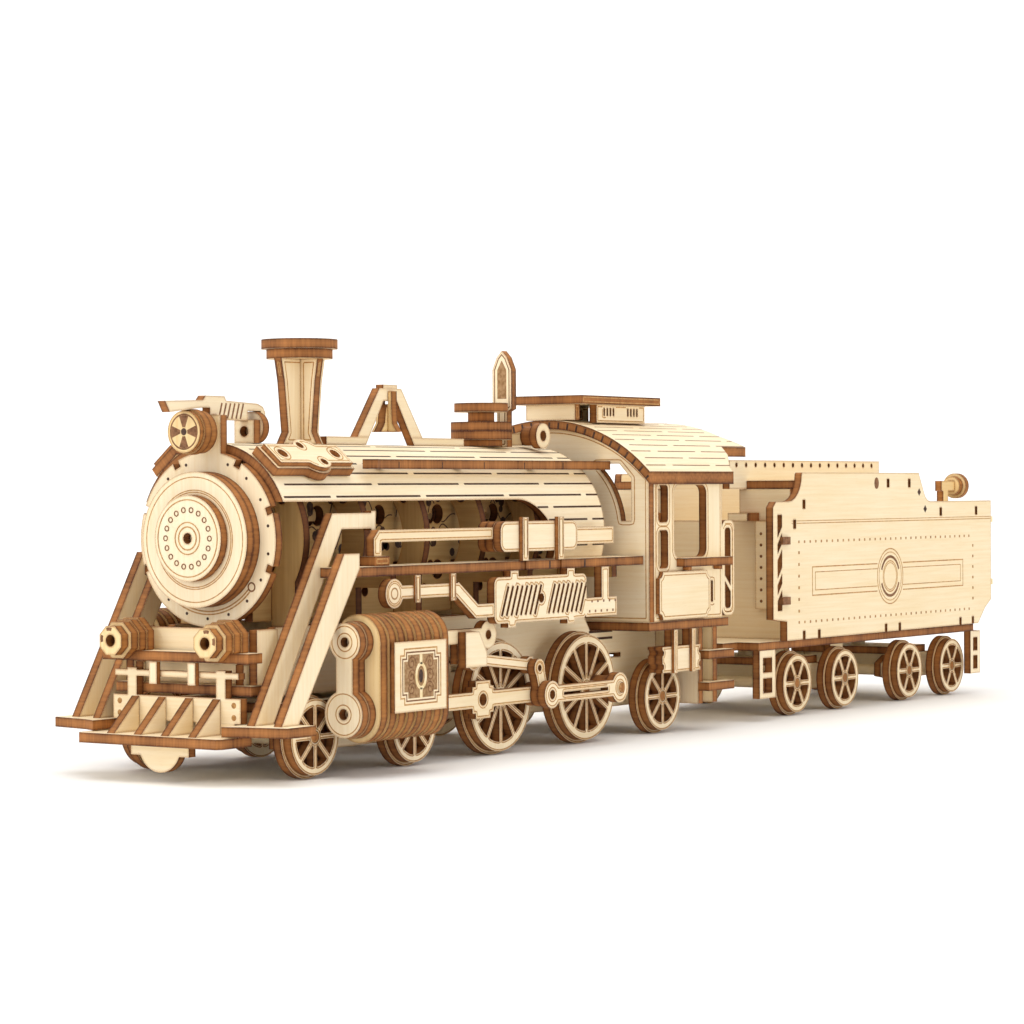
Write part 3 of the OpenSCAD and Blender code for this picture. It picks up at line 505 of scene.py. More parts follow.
def ring_path(centre, out, radius, start=0, stop=360, count=40, stretch=1.0):
    """Points of an arc round a centre, in the plane that looks along out.
    A full circle leaves its last point off."""
    out = np.asarray(out, float)
    u = np.cross(Z_AXIS, out) if abs(out[2]) < 0.9 else X_AXIS
    u = u / np.linalg.norm(u)
    v = np.cross(out, u)
    angle = np.radians(np.linspace(start, stop, count, endpoint=stop - start < 360))
    flat = np.outer(np.cos(angle) * radius, u) + np.outer(np.sin(angle) * radius * stretch, v)
    return np.asarray(centre, float) + flat


def circle(bundle, centre, out, radius, width, count):
    """An engraved circle."""
    strip(bundle, ring_path(centre, out, radius, count=count), out, width, closed=True)


print("strip and stud helpers ready")

# %% [markdown]
# ## The smokebox front
# The round front carries most of the fine work: pin holes round the ring, a golden arc ending in two beads,
# engraved rings on the large door and a wreath of small rings round the hub.

# %% Front ring and doors


def front_point(radius, degrees, x):
    """A point on the front at a radius and angle round the boiler's axis."""
    t = math.radians(degrees)
    return (x, -math.cos(t) * radius, BOILER_Z + math.sin(t) * radius)


RING_X, DOOR_X, LID_X = -6.22, -10.24, -12.34
for degrees in np.arange(0, 360, 20) + 10:
    if not 75 < degrees < 105:
        stud("slit@engine_front", front_point(15.9, degrees, RING_X), FRONT, 0.33)
for radius in (14.45, 15.05):
    arc = [front_point(radius, d, RING_X) for d in np.linspace(223, 317, 40)]
    strip("line@engine_front", arc, FRONT, 0.28)
for degrees in (219.5, 320.5):
    circle("deep@engine_front", front_point(14.75, degrees, RING_X), FRONT, 0.85, 0.3, 16)
for radius in (12.5, 9.9, 9.5):
    circle("line@engine_front", (DOOR_X, 0, BOILER_Z), FRONT, radius, 0.22, 64)
lid = np.array([LID_X, 0, BOILER_Z + 0.3])
circle("line@engine_front", lid, FRONT, 7.7, 0.2, 48)
circle("line@engine_front", lid, FRONT, 2.3, 0.24, 24)
circle("line@engine_front", lid, FRONT, 3.2, 0.2, 28)
for degrees in np.arange(0, 360, 20):
    t = math.radians(degrees)
    middle = lid + [0, math.cos(t) * 5.7, math.sin(t) * 5.7]
    circle("deep@engine_front", middle, FRONT, 0.5, 0.2, 12)
print("front marks drawn")

# %% [markdown]
# ## The boiler skin
# The skin is one thin sheet made bendable by rows of staggered slits, so it can wrap round the formers.
# From outside they read as dark dashes along the boiler, with short bridges of wood between them; the dashes'
# darkness is painted shade for the gap, over charred walls.
# Each dash is a strip that lies on the cylinder: y = r cos(angle), z = axis + r sin(angle).

# %% Slits of the bent skin
trees = {}


def tree_of(nodes):
    """The search tree of one node or of several at once, made when it is first asked for."""
    names = (nodes,) if isinstance(nodes, str) else tuple(nodes)
    if names not in trees:
        gathered, base = [], 0
        for name in names:
            points, triangles, _ = merged(name)
            gathered.append((points, triangles + base))
            base += len(points)
        points, triangles = (np.concatenate(half).tolist() for half in zip(*gathered))
        trees[names] = BVHTree.FromPolygons(points, triangles)
    return trees[names]


def dashes(start, stop, shift, length, bridge):
    """Starts and ends of dashes between two stations, the whole row shifted along."""
    first = np.arange(start - length + shift % (length + bridge), stop, length + bridge)
    ends = np.c_[np.maximum(first, start), np.minimum(first + length, stop)]
    return ends[(ends[:, 1] - ends[:, 0]) > 2.0]


def on_wood(tree, path, out, reach=0.3):
    """The stretches of a path whose points all have wood just below them."""
    starts, way = place(path + out * reach), Vector(-out)
    hit = [tree.ray_cast(Vector(p), way, 2 * reach * MM)[0] is not None for p in starts]
    runs = np.split(np.arange(len(hit)), np.flatnonzero(np.diff(hit)) + 1)
    return [run for run in runs if hit[run[0]]]


def bent_way(side, degrees):
    """The way out of a bent sheet at an angle above the level, on one side."""
    t = math.radians(degrees)
    return np.array([0, side * math.cos(t), math.sin(t)])


def kerfs(bundle, node, angles, span, stagger, length, bridge, width):
    """Rows of dashes along a bent sheet, every other row staggered, kept only where there is wood."""
    axis_z, radius = BENT[node]
    drawn = 0
    for row, degrees in enumerate(angles):
        for out in (bent_way(-1, degrees), bent_way(1, degrees)):
            for start, stop in dashes(*span, row % 2 * stagger, length, bridge):
                x = np.arange(start, stop, 0.6)
                path = np.c_[x, x * 0, x * 0 + axis_z] + out * radius
                for run in on_wood(tree_of(node), path, out):
                    if len(run) > 4:
                        strip(bundle, path[[run[0], run[-1]]], out, width)
                        drawn += 1
    return drawn


SLIT_PITCH = 2.9
turn = 360 * SLIT_PITCH / (math.tau * BOILER_R)
skin_sine = (corners_of("boiler_skin")[0][2] - BOILER_Z) / BOILER_R
lowest = math.degrees(math.asin(max(-1.0, skin_sine))) + 2.5
rows = np.arange(90.0 - turn / 2, lowest, -turn)
slits = kerfs("slit@engine_skin", "boiler_skin", rows, (-3.4, 113.0), 15.0, 29.0, 1.9, 0.42)
print("slits in the skin", slits)

# %% [markdown]
# ## Drawing on flat plates
# Most lines lie on plates whose exact depth the frame already knows.
# So each path is drawn in the air, and dropped straight onto the wood with rays.
# Where a ray finds a hole, or steps onto another plate, the line stops, as the laser's line would.

# %% Drop a path onto the wood


def walked(corners, closed, step):
    """Points at even steps along straight runs between corners, the corners among them."""
    corners = np.asarray(corners, float)
    ends = np.r_[corners[1:], corners[:1]] if closed else corners[1:]
    pieces = [
        a + np.linspace(0, 1, max(2, int(np.linalg.norm(b - a) / step) + 1), endpoint=False)[:, None] * (b - a)
        for a, b in zip(corners, ends)
    ]
    return np.concatenate(pieces + ([] if closed else [corners[-1:]]))


def eased(path, closed=False):
    """A path without the points that lie on a straight run."""
    if len(path) < 4:
        return path
    before = path - np.roll(path, 1, 0)
    after = np.roll(path, -1, 0) - path
    lengths = np.linalg.norm(before, axis=1) * np.linalg.norm(after, axis=1)
    bends = np.linalg.norm(np.cross(before, after), axis=1) / (lengths + 1e-9) > 0.02
    if not closed:
        bends[[0, -1]] = True
    return path[bends] if bends.sum() > 2 or not closed and bends.sum() > 1 else path


def dropped(nodes, path, out, far=40.0):
    """Where rays from far outside meet the wood, with nan where they miss or meet a slanting face."""
    tree, way = tree_of(nodes), Vector(-np.asarray(out, float))
    landed = np.full((len(path), 3), np.nan)
    for number, point in enumerate(place(np.asarray(path) + np.asarray(out, float) * far)):
        spot, normal, _, _ = tree.ray_cast(Vector(point), way, 2 * far * MM)
        if spot is not None and abs(normal.dot(way)) > 0.9:
            landed[number] = spot
    return landed / MM + [MIDDLE, 0, 0]


def sides_of(values, out, twin):
    """The path or spot as given, and, for a twin, its mirror image with the outward way mirrored too."""
    flip = np.array([1, -1, 1])
    values, out = np.asarray(values, float), np.asarray(out, float)
    return [(values, out)] + ([(values * flip, out * flip)] if twin else [])


def trace(bundle, nodes, corners, out, width=0.3, closed=False, step=0.5, twin=True, proud=0.03):
    """An engraved line dropped onto the wood, split where the wood ends or changes level."""
    for path, way in sides_of(walked(corners, closed, step), out, twin):
        landed = dropped(nodes, path, way)
        found = ~np.isnan(landed[:, 0])
        level = landed @ way
        joined = found[1:] & found[:-1] & (np.abs(np.diff(level)) < 0.15)
        if closed and found.all() and joined.all():
            strip(bundle, eased(landed, True), way, width, proud, closed=True)
            continue
        breaks = np.flatnonzero(~joined) + 1
        for run in np.split(np.arange(len(landed)), breaks):
            if len(run) > 1 and found[run].all():
                strip(bundle, eased(landed[run]), way, width, proud)


def dot(bundle, nodes, centre, out, radius, sides=8, twin=True, **more):
    """A small engraved disc dropped onto the wood."""
    for spot, way in sides_of([centre], out, twin):
        landed = dropped(nodes, spot, way)[0]
        if not np.isnan(landed[0]):
            stud(bundle, landed, way, radius, sides, **more)


def loop(bundle, nodes, centre, out, radius, width, count, twin=True):
    """An engraved circle dropped onto the wood."""
    trace(bundle, nodes, ring_path(centre, out, radius, count=count), out, width, True, 9.0, twin)


def patch(bundle, nodes, corners, out, twin=True, proud=0.02):
    """A filled engraved shape: its outline dropped onto the wood, a hair proud and the same below."""
    for path, way in sides_of(corners, out, twin):
        landed = dropped(nodes, path, way)
        if np.isnan(landed).any():
            continue
        if np.cross(landed[1] - landed[0], landed[2] - landed[1]) @ way < 0:
            landed = landed[::-1]
        keep(bundle, np.concatenate([landed + way * proud, landed - way * proud]), drum_faces(len(landed)))


def notched(low, high, y, n):
    """An upright rectangle facing sideways, (station, z) low to high, with a square notch at each corner."""
    (a0, b0), (a1, b1) = low, high
    flat = [
        (a0 + n, b0), (a1 - n, b0), (a1 - n, b0 + n), (a1, b0 + n), (a1, b1 - n), (a1 - n, b1 - n),
        (a1 - n, b1), (a0 + n, b1), (a0 + n, b1 - n), (a0, b1 - n), (a0, b0 + n), (a0 + n, b0 + n),
    ]
    return [(a, y, b) for a, b in flat]


AIR_Y = -40.0


def upright(bundle, nodes, x, low, high, width):
    """A line straight up a side plate, drawn in the air at AIR_Y and dropped onto it."""
    trace(bundle, nodes, [(x, AIR_Y, low), (x, AIR_Y, high)], NEAR, width)


def level(bundle, nodes, low, high, z, width):
    """A level line along a side plate, between two stations."""
    trace(bundle, nodes, [(low, AIR_Y, z), (high, AIR_Y, z)], NEAR, width)


print("paths can be dropped onto plates")

# %% [markdown]
# ## Lines that follow an edge
# Many plates carry a fine line a little way inside their outline.
# The outline is already in the mesh: it is every edge that only one triangle of the sheet face uses.
# Those edges are chained into loops, moved inwards, and cut away wherever they come too near another edge.

# %% Inset lines


def face_loops(triangles):
    """Chains the edges used by one triangle only into loops of corner numbers."""
    edges = np.concatenate([triangles[:, [0, 1]], triangles[:, [1, 2]], triangles[:, [2, 0]]])
    pairs = {tuple(e) for e in edges.tolist()}
    onward = {a: b for a, b in pairs if (b, a) not in pairs}
    loops = []
    while onward:
        start, here = onward.popitem()
        chain = [start]
        while here in onward:
            chain.append(here)
            here = onward.pop(here)
        if len(chain) > 2:
            loops.append(chain)
    return loops


def inset_lines(bundle, node, way, inset, width=0.25, step=0.35, least=2.0):
    """Lines inside the outline of each sheet face that looks along way: outline + (way x tangent) x inset."""
    points, triangles, solid = merged(node)
    points = points / MM + [MIDDLE, 0, 0]
    way = np.asarray(way, float)
    a, b, c = (points[triangles[:, k]] for k in range(3))
    normal = np.cross(b - a, c - a)
    normal /= np.maximum(np.linalg.norm(normal, axis=1), 1e-12)[:, None]
    facing = normal @ way > 0.97
    drawn = 0
    for number in np.unique(solid[facing]):
        mine = triangles[facing & (solid == number)]
        depth = points[mine[:, 0]] @ way
        top = mine[depth > depth.max() - 0.05]
        outlines = [walked(points[chain], True, step) for chain in face_loops(top)]
        if not outlines:
            continue
        every = np.concatenate(outlines)
        for outline in outlines:
            tangent = np.roll(outline, -1, 0) - np.roll(outline, 1, 0)
            tangent /= np.maximum(np.linalg.norm(tangent, axis=1), 1e-9)[:, None]
            moved = outline + np.cross(way, tangent) * inset
            nearest = np.array([np.min(((every - p) ** 2).sum(1)) for p in moved])
            good = moved[nearest > (0.93 * inset) ** 2]
            if len(good) < 4:
                continue
            hops = np.linalg.norm(np.diff(good, axis=0), axis=1)
            for run in np.split(good, np.flatnonzero(hops > max(0.9, 1.7 * inset)) + 1):
                long_enough = np.linalg.norm(np.diff(run, axis=0), axis=1).sum() > least
                if len(run) > 2 and long_enough:
                    strip(bundle, eased(run), way, width)
                    drawn += 1
    return drawn


PLAQUE_TILT = math.radians(40)
TILTED = [side * math.sin(PLAQUE_TILT) + Z_AXIS * math.cos(PLAQUE_TILT) for side in SIDES]
for node, ways, inset, bundle in (
    ("stack_fins", (*SIDES, FRONT), 0.8, "line@engine_stack"),
    ("cab_front_wall", (FRONT,), 0.9, "line@engine_cab"),
    ("cab_sides", SIDES, 0.8, "line@engine_cab"),
    ("air_reservoirs", SIDES, 0.55, "line@engine_side"),
    ("steam_pipes", SIDES, 0.5, "line@engine_side"),
    ("injector_boxes", SIDES, 0.5, "line@engine_side"),
    ("grille_boxes", SIDES, 0.55, "line@engine_side"),
    ("roof_vent", SIDES, 0.5, "line@engine_cab"),
    ("crossheads", SIDES, 0.5, "line@crosshead"),
    ("valve_links", SIDES, 0.5, "line@crosshead"),
    ("boiler_plaques", TILTED, 0.7, "line@engine_top"),
    ("whistle", (*SIDES, FRONT), 0.6, "deep@engine_top"),
    ("main_rods", SIDES, 0.55, "line@main_rod"),
    ("radius_rods", SIDES, 0.5, "line@radius_rod"),
):
    print(node, "inset lines", [inset_lines(bundle, node, way, inset) for way in ways])

# %% [markdown]
# ## Wheels
# Each wheel has an engraved ring inside its rim and another round its hub.
# The wheel's own box gives its centre and radius, so one loop draws all nine axles.

# %% Rings on the wheels
for node in sorted(n for n in frame["nodes"] if "wheels" in n):
    low, high = corners_of(node)
    radius = (high[2] - low[2]) / 2
    hub = ((low[0] + high[0]) / 2, 0.0, (low[2] + high[2]) / 2)
    where = body_of_node[node]
    loop("line@" + where, node, hub, NEAR, radius - 0.75, 0.2, 48)
    loop("line@" + where, node, hub, NEAR, radius * 0.17 + 0.9, 0.22, 24)
    for way in SIDES:
        inset_lines("rivet@" + where, node, way, 0.3, 0.22, step=0.5, least=4.0)
print("wheel rings drawn")

# %% [markdown]
# ## Cylinders and running gear
# The cylinder's outer panel is framed twice, hatched inside, and has a bar with an oval ring at its centre.
# The two round covers in front of it carry rings and a dark keyhole.

# %% Cylinder panel and covers
CYLINDERS = ("cylinder_blocks", "cylinder_covers")
PANEL_X, PANEL_Z, PANEL_Y = 18.0, 19.95, -36.0
NOTCH = 1.3
for finish, low, high in (("line", (11.2, 14.4), (24.8, 25.5)), ("deep", (11.9, 15.1), (24.1, 24.8))):
    trace(finish + "@engine_cylinder", CYLINDERS, notched(low, high, PANEL_Y, NOTCH), NEAR, 0.3, True)
patch("field@engine_cylinder", CYLINDERS, notched((12.4, 15.6), (23.6, 24.3), PANEL_Y, NOTCH), NEAR)


def scroll(x, z, size, hand):
    """A spiral whose radius shrinks evenly while its angle grows by one and a half turns, either way round."""
    angle = np.linspace(0, 3 * math.pi, 26)
    radius = hand * size * (1 - angle / (3.6 * math.pi))
    return np.c_[x + radius * np.cos(angle), np.full(26, PANEL_Y), z + hand * radius * np.sin(angle)]


for x, hand in ((PANEL_X - 3.1, 1), (PANEL_X + 3.1, -1)):
    for z in (17.4, 20.0, 22.6):
        path = scroll(x, z, 1.45, hand)
        trace("deep@engine_cylinder", CYLINDERS, path, NEAR, 0.22, step=9.0, proud=0.05)
for low, high in ((15.6, 17.6), (22.3, 24.3)):
    bar = [(PANEL_X, PANEL_Y, low), (PANEL_X, PANEL_Y, high)]
    trace("wood@engine_cylinder", CYLINDERS, bar, NEAR, 0.9, proud=0.08)
oval = ring_path((PANEL_X, PANEL_Y, PANEL_Z), NEAR, 1.6, count=32, stretch=1.5)
trace("wood@engine_cylinder", CYLINDERS, oval, NEAR, 0.7, True, 9.0, proud=0.08)
panel_face = -corners_of("cylinder_covers")[0][1]
for side in (-1, 1):
    middle = (PANEL_X, side * panel_face, PANEL_Z)
    stud("slit@engine_cylinder", middle, (0, side, 0), 0.72, 12, 0.05, 1.9)
for y, z, radii in ((-27.9, 12.9, (4.1, 1.9)), (-28.3, 27.2, (3.2, 1.8))):
    for radius in radii:
        loop("line@engine_cylinder", "cylinder_covers", (0, y, z), FRONT, radius, 0.24, 32)
    dot("slit@engine_cylinder", "cylinder_covers", (0, y, z), FRONT, 0.75, 12, stretch=1.35)
for z in (12.9, 15.3):
    dot("rivet@engine_front", "front_cross_frame", (-20, -14.8, z), FRONT, 0.6, 12)
print("cylinders drawn")

# %% [markdown]
# ## Pipes, tanks and grille
# Along the boiler's side hang an air tank, a bent feed pipe and a slotted grille.
# Their straps are drawn as pairs of lines, and rows of dots stand for bolts.

# %% Side fittings
for x in (68.2, 82.1):
    for shift in (-0.7, 0.7):
        upright("deep@engine_side", "air_reservoirs", x + shift, 43, 52, 0.22)
for x in (27.8, 40.3):
    for shift in (-0.6, 0.6):
        upright("deep@engine_side", "steam_pipes", x + shift, 28, 42, 0.2)
loop("line@engine_side", "steam_pipes", (20.4, AIR_Y, 36.2), NEAR, 2.1, 0.22, 24)
loop("rivet@engine_side", "steam_pipes", (20.4, AIR_Y, 36.2), NEAR, 1.1, 0.3, 20)
for row, z in enumerate((30.0, 32.2)):
    for x in np.arange(93.0 + row, 105.0, 2.4):
        dot("deep@engine_side", "grille_boxes", (x, AIR_Y, z), NEAR, 0.38, 4, turn=math.pi / 4)
for x in (78.5, 92.5):
    upright("slit@engine_side", "running_boards", x, 38, 43, 0.6)
for x in np.arange(20.0, 112.0, 15.5):
    upright("slit@engine_side", "boiler_rails", x, 55, 66, 0.3)
for low, high in ((44.0, 51.0), (112.5, 122.5)):
    for z in (22.6, 24.2, 25.8):
        level("slit@engine_side", "chassis_frames", low, high, z, 0.55)
print("side fittings drawn")

# %% [markdown]
# ## Inside the boiler
# Through the open side the inner plates show clusters of dark dots between long engraved tendrils.
# A tendril is a wave whose height dies away: z = middle + size x exp(-t) x sin(turns x t).

# %% Dots and tendrils on the inner plates
INSIDE = "boiler_inner_plates"
INSIDE_Z = 50
inside_rng = np.random.default_rng(5)
inside_low, inside_high = corners_of(INSIDE)
print("inner plates", inside_low.round(1), inside_high.round(1))
for start in np.arange(inside_low[0] + 7, inside_high[0] - 6, 11.5):
    for x, z in zip(start + inside_rng.uniform(-4.6, 4.6, 13), INSIDE_Z + inside_rng.uniform(-8.0, 8.0, 13)):
        dot("slit@engine_inside", INSIDE, (x, AIR_Y, z), NEAR, 0.75 + 0.45 * inside_rng.uniform(), 10)
    t = np.linspace(0, 2.6, 26)
    for hand in (-1, 1):
        wave = INSIDE_Z + hand * (1.5 + 5.5 * np.exp(-t) * np.sin(3.1 * t))
        path = np.c_[start - 5 + 3.9 * t, np.full(26, AIR_Y), wave]
        trace("slit@engine_inside", INSIDE, path, NEAR, 0.28, step=9.0)

# %% [markdown]
# ## The headlamp
# The lamp's round face is cut like a star: pale sectors on the diagonals and brown ones between.
# Each brown sector is a thin wedge, dropped onto the face.

# %% Lamp faces


def wedges(node, centre, half, count, outer, inner, twin):
    """Four wedges on a lamp's face, between two radii and from -half to +half degrees about each axis."""
    for middle in (0, 90, 180, 270):
        fan = np.radians(np.linspace(middle - half, middle + half, count))
        way = np.c_[np.zeros(count), np.cos(fan), np.sin(fan)]
        patch("deep@engine_lamp", node, centre + np.r_[way * outer, way[::-1] * inner], FRONT, twin)


low, high = corners_of("headlamp")
lamp_r = (high[2] - low[2]) / 2
lamp = np.array([low[0] - 1, 0, (low[2] + high[2]) / 2])
wedges("headlamp", lamp, 21, 7, lamp_r * 0.72, lamp_r * 0.2, twin=False)
loop("deep@engine_lamp", "headlamp", lamp, FRONT, lamp_r * 0.76, 0.3, 40, twin=False)
dot("slit@engine_lamp", "headlamp", lamp, FRONT, lamp_r * 0.16, 12, twin=False)
for x in np.arange(-3.6, 4.2, 1.35):
    trace("deep@engine_lamp", "headlamp_board", [(x, -9, 71.8), (x + 1.0, -9, 74.9)], NEAR, 0.45)
low, high = corners_of("marker_lamps")
small_r = (high[2] - low[2]) / 2
small = np.array([low[0] - 1, low[1] + small_r, (low[2] + high[2]) / 2])
wedges("marker_lamps", small, 20, 4, small_r * 0.57, small_r * 0.4, twin=True)
print("headlamp radius", round(float(lamp_r), 2), "marker lamp radius", round(float(small_r), 2))

# %% [markdown]
# ## The whistle
# The upright plate behind the dome carries a toasted field with a pointed top on its front and its back.
# Its corners are shares of the plate's own height and width, so the field keeps to the plate.

# %% Whistle panel
low, high = corners_of("whistle")
tall, wide = high[2] - low[2], high[1] - low[1]
across_y, whistle_y = wide * 0.24, (low[1] + high[1]) / 2
panel = [
    (low[0] - 1, whistle_y + y * across_y, low[2] + z * tall)
    for y, z in ((-1, 0.5), (1, 0.5), (1, 0.8), (0, 0.9), (-1, 0.8))
]
for way in (FRONT, -FRONT):
    patch("field@engine_top", "whistle", panel, way, twin=False)
print("whistle stands", round(float(tall), 1), "mm tall and", round(float(wide), 1), "mm wide")

# %% [markdown]
# ## The cab roof
# The roof bends like the boiler skin: fine kerfs run along it, and its front edge shows a dark notch at each.

# %% Kerfs on the roof
ROOF_PITCH = 2.6
turn = 360 * ROOF_PITCH / (math.tau * ROOF_R)
rows = np.arange(90.0 - turn / 2, -8.0, -turn)
roof_lines = kerfs("deep@engine_roof", "cab_roof", rows, (116.6, 173.0), 9.0, 17.0, 2.6, 0.26)
for degrees in rows:
    for out in (bent_way(-1, degrees), bent_way(1, degrees)):
        edge = [out * r + [110, 0, ROOF_Z] for r in (ROOF_R - PLY, ROOF_R)]
        trace("slit@engine_roof", "cab_roof", edge, FRONT, 0.5, twin=False)
print("roof kerfs", roof_lines)

# %% [markdown]
# ## The tender
# The tender's long side carries a framed ribbon broken by a round medallion, inside a border of rivets.

# %% Tender sides
SIDE = "tender_sides"
MEDAL_X = 236.6
MEDAL_HALF = 7.2
for (outer_low, low), (outer_high, high), width in (
    ((194.5, 30.3), (279.5, 37.4), 0.3),
    ((196.0, 31.6), (278.0, 36.1), 0.22),
):
    for inner, outer in ((MEDAL_X - MEDAL_HALF, outer_low), (MEDAL_X + MEDAL_HALF, outer_high)):
        ribbon = [(inner, low), (outer, low), (outer, high), (inner, high)]
        trace("line@tender_side", SIDE, [(x, AIR_Y, z) for x, z in ribbon], NEAR, width)
medal = (MEDAL_X, AIR_Y, 34.0)
for radius, width in ((MEDAL_HALF, 0.3), (6.3, 0.22), (4.0, 0.3), (3.5, 0.22)):
    loop("line@tender_side", SIDE, medal, NEAR, radius, width, 48)
for start in (20, 200):
    arc = ring_path(medal, NEAR, 5.1, start, start + 140, 24)
    trace("deep@tender_side", SIDE, arc, NEAR, 0.7, step=9.0)
for x in np.arange(187.6, 286.1, 2.9):
    for z in (23.8, 43.8):
        dot("rivet@tender_side", SIDE, (x, AIR_Y, z), NEAR, 0.45, 4, turn=math.pi / 4)
for z in np.arange(26.6, 42.6, 2.9):
    for x in (187.6, 285.7):
        dot("rivet@tender_side", SIDE, (x, AIR_Y, z), NEAR, 0.5, 4, turn=math.pi / 4)
level("line@tender_side", SIDE, 184, 300, 48.4, 0.22)
level("line@tender_side", SIDE, 184, 300, 49.0, 0.18)
for z in np.arange(29.0, 48.0, 2.8):
    dot("deep@tender_front", ("tender_body", "tender_frame"), (150, -18.2, z), FRONT, 0.4)
print("tender sides drawn")

# %% [markdown]
# Square slots for the tender's inner walls show on the sides as brown diamonds along the sloping shoulder.
# At the back a grab rail stands on two round pegs, and the ladder at the front is held by two short pegs.

# %% Slots, pegs and grab rails


def block(bundle, low, high):
    """A small straight-sided peg between two corners, and its mirror image on the far side."""
    for flip in (1, -1):
        y = np.sort([low[1] * flip, high[1] * flip])
        corners = [(x, v, z) for x in (low[0], high[0]) for v in y for z in (low[2], high[2])]
        keep(bundle, corners, [(0, 1, 3, 2), (4, 6, 7, 5), (0, 4, 5, 1), (2, 3, 7, 6), (0, 2, 6, 4), (1, 5, 7, 3)])


def peg(bundle, centre, radius, low, high, sides=20):
    """A round upright rod between two heights, on both sides: two rings of corners and their caps."""
    angle = np.arange(sides) * math.tau / sides
    for flip in (1, -1):
        ring = np.c_[centre[0] + radius * np.cos(angle), centre[1] * flip + radius * np.sin(angle)]
        keep(bundle, np.r_[np.c_[ring, np.full(sides, high)], np.c_[ring, np.full(sides, low)]], drum_faces(sides))


for x, z in ((253.4, 55.9), (256.9, 51.4)):
    dot("slit@tender_side", SIDE, (x, AIR_Y, z), NEAR, 1.0, 4)
side_face = -corners_of(SIDE)[0][1]
for side in (-1, 1):
    stud("deep@tender_side", (229.1, side * side_face, 58.3), (0, side, 0), 1.25, 12, 0.04, 1.2)
for z in (29.4, 44.2):
    block("deep@tender_side", (178.2, -28.3, z - 0.95), (182.0, -26.4, z + 0.95))
RAIL = (299.6, -25.4)
peg("deep@tender_rear", RAIL, 0.7, 25.6, 52.6)
for z in (30.8, 48.2):
    peg("wood@tender_rear", RAIL, 1.35, z - 0.8, z + 0.8)
    block("wood@tender_rear", (295.1, RAIL[1] - 0.6, z - 0.6), (RAIL[0], RAIL[1] + 0.6, z + 0.6))
print("tender body ends at", corners_of("tender_body")[1].round(1))

# %% [markdown]
# ## Strips become objects
# All strips of one finish in one place are joined into one object, which rides with the plate it is engraved on.

# %% Join each bundle
FINISHES = {"line": LINE, "deep": DARK_LINE, "rivet": RIVET, "slit": SLIT, "field": FIELD, "wood": PEG_WOOD}
for bundle, shapes in sorted(bundles.items()):
    finish, where = bundle.split("@")
    body = where if where in frame["bodies"] else where.split("_")[0]
    counts = np.cumsum([0] + [len(p) for p, _ in shapes])
    points = place(np.concatenate([p for p, _ in shapes]))
    faces = [[int(c) + base for c in face] for base, (_, quads) in zip(counts, shapes) for face in quads]
    piece = new_mesh(f"engraving_{finish}_{where}", points, faces)
    piece.data.materials.append(FINISHES[finish])
    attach(piece, body)
    print(piece.name, len(shapes), "shapes")

# %% [markdown]
# ## Floor and light
# A pale floor curves up behind the model, as paper does in a studio tent.
# Large soft lights from both sides and above keep every shadow faint, so the browned edges do the drawing.

# %% Floor and backdrop


VIEW_YAW, VIEW_PITCH, VIEW_ROLL = (math.radians(a) for a in (34.432, 0.4538, -0.2849))
AHEAD = np.array([math.cos(VIEW_YAW), math.sin(VIEW_YAW), 0])
ASIDE = np.array([AHEAD[1], -AHEAD[0], 0])


def sweep(name, profile, half):
    """A profile of (distance, height) pairs carried sideways, turned to stand behind the model."""
    rows = profile[:, :1] * AHEAD + profile[:, 1:] * Z_AXIS
    points = np.concatenate([rows + ASIDE * half, rows - ASIDE * half])
    n = len(profile)
    k = np.arange(n - 1)
    return new_mesh(name, points, np.c_[k, k + 1, k + 1 + n, k + n][:, ::-1])


BEND_START, BEND_R = 1.6, 0.8
bend = np.linspace(0, math.pi / 2, 17)
curve = np.c_[BEND_START + np.sin(bend) * BEND_R, BEND_R - np.cos(bend) * BEND_R]
floor = sweep("floor", np.concatenate([[(-3.0, 0.0)], curve, [(2.4, 3.0)]]), 4.0)
paper, _, paper_shader = new_material("white_paper")
paper_shader.inputs["Base Color"].default_value = (0.93, 0.925, 0.915, 1)
paper_shader.inputs["Roughness"].default_value = 0.9
paper_shader.inputs["Specular IOR Level"].default_value = 0.1
floor.data.materials.append(paper)
floor.data.polygons.foreach_set("use_smooth", [True] * len(floor.data.polygons))


def soft_light(name, spot, aim, size, power, colour=(1, 1, 1)):
    """A large square light that looks from a spot to a point."""
    data = bpy.data.lights.new(name, "AREA")
    data.size, data.energy, data.color = size, power, colour
    made = bpy.data.objects.new(name, data)
    made.location = spot
    made.rotation_euler = (Vector(aim) - Vector(spot)).to_track_quat("-Z", "Y").to_euler()
    bpy.context.scene.collection.objects.link(made)
    return made


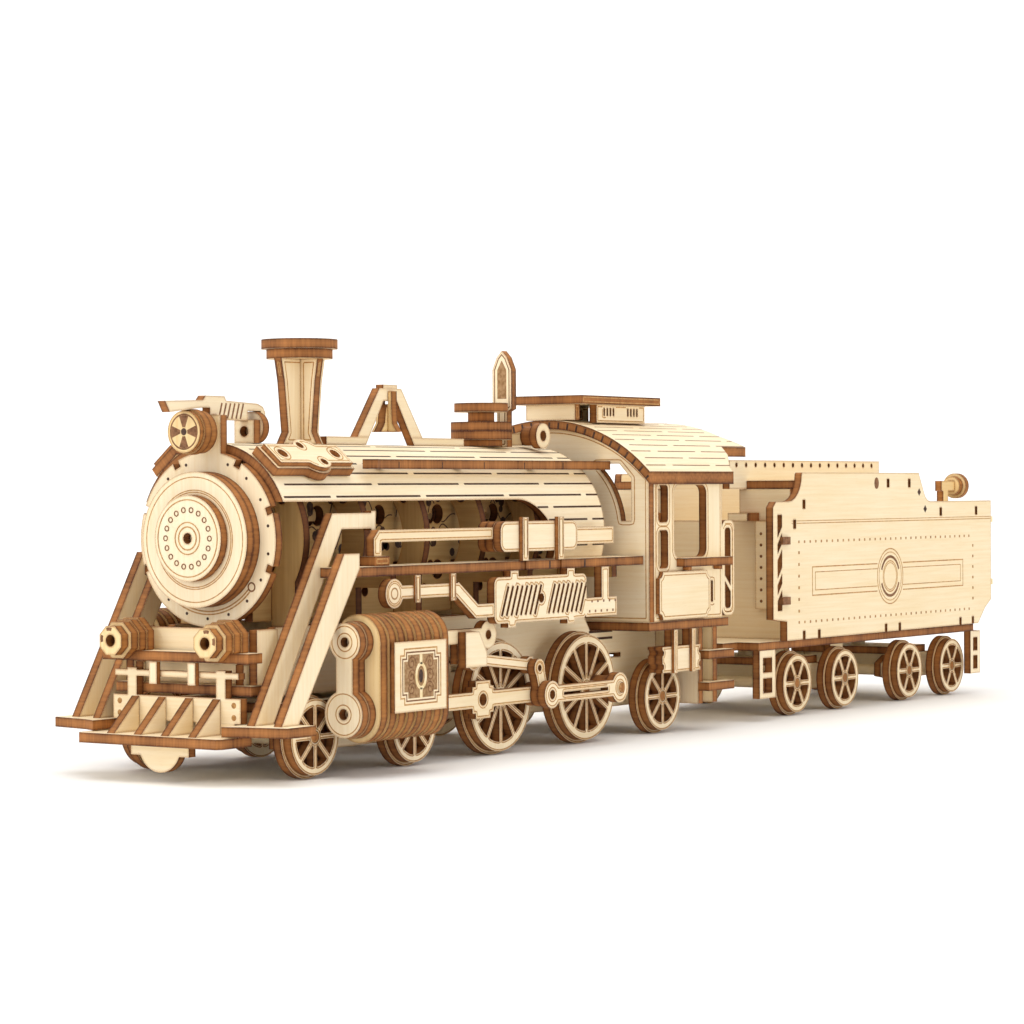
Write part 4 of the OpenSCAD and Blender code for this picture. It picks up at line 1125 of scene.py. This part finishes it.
soft_light("top_light", -AHEAD * 0.2 + Z_AXIS * 1.1, (0, 0, 0), 1.1, 8.0, (1.0, 0.985, 0.96))
soft_light("left_light", -AHEAD * 0.75 - ASIDE * 0.9 + Z_AXIS * 0.45, (0, 0, 0.04), 0.8, 5.5)
soft_light("right_light", -AHEAD * 0.6 + ASIDE * 1.0 + Z_AXIS * 0.5, (0, 0, 0.04), 0.8, 3.6, (1.0, 0.98, 0.95))
soft_light("back_light", AHEAD * 1.2 + Z_AXIS * 1.4, tuple(AHEAD * 2.0 + Z_AXIS * 0.3), 1.2, 16.0)
world = bpy.data.worlds.new("tent")
world.use_nodes = True
background = world.node_tree.nodes["Background"].inputs
background["Color"].default_value = (1.0, 0.99, 0.975, 1)
background["Strength"].default_value = 0.6
bpy.context.scene.world = world
bpy.context.scene.view_settings.view_transform = "Standard"
bpy.context.scene.view_settings.look = "None"

# %% [markdown]
# ## The view
# A long lens from low down at the front corner shows the whole side at once and the round front beside it.
# The camera's axes are built from its heading: forwards tipped down a little, right and up rolled a little.

# %% Camera
LENS, SENSOR = 106.28, 36.0
CAMERA_SPOT = np.array([-609.9, -393.0, 57.5])
forward = AHEAD * math.cos(VIEW_PITCH) - Z_AXIS * math.sin(VIEW_PITCH)
lifted = Z_AXIS * math.cos(VIEW_PITCH) + AHEAD * math.sin(VIEW_PITCH)
rightward = ASIDE * math.cos(VIEW_ROLL) + lifted * math.sin(VIEW_ROLL)
upward = -ASIDE * math.sin(VIEW_ROLL) + lifted * math.cos(VIEW_ROLL)
camera_data = bpy.data.cameras.new("camera")
camera_data.lens, camera_data.sensor_width = LENS, SENSOR
camera_data.clip_start, camera_data.clip_end = 0.01, 20.0
camera = bpy.data.objects.new("camera", camera_data)
pose = Matrix.Identity(4)
for column, axis in enumerate((rightward, upward, -forward)):
    pose.col[column][:3] = axis
pose.col[3][:3] = CAMERA_SPOT * MM
camera.matrix_world = pose
bpy.context.scene.collection.objects.link(camera)
bpy.context.scene.camera = camera
print("camera", round(float(np.linalg.norm(CAMERA_SPOT))), "mm from the middle of the model")
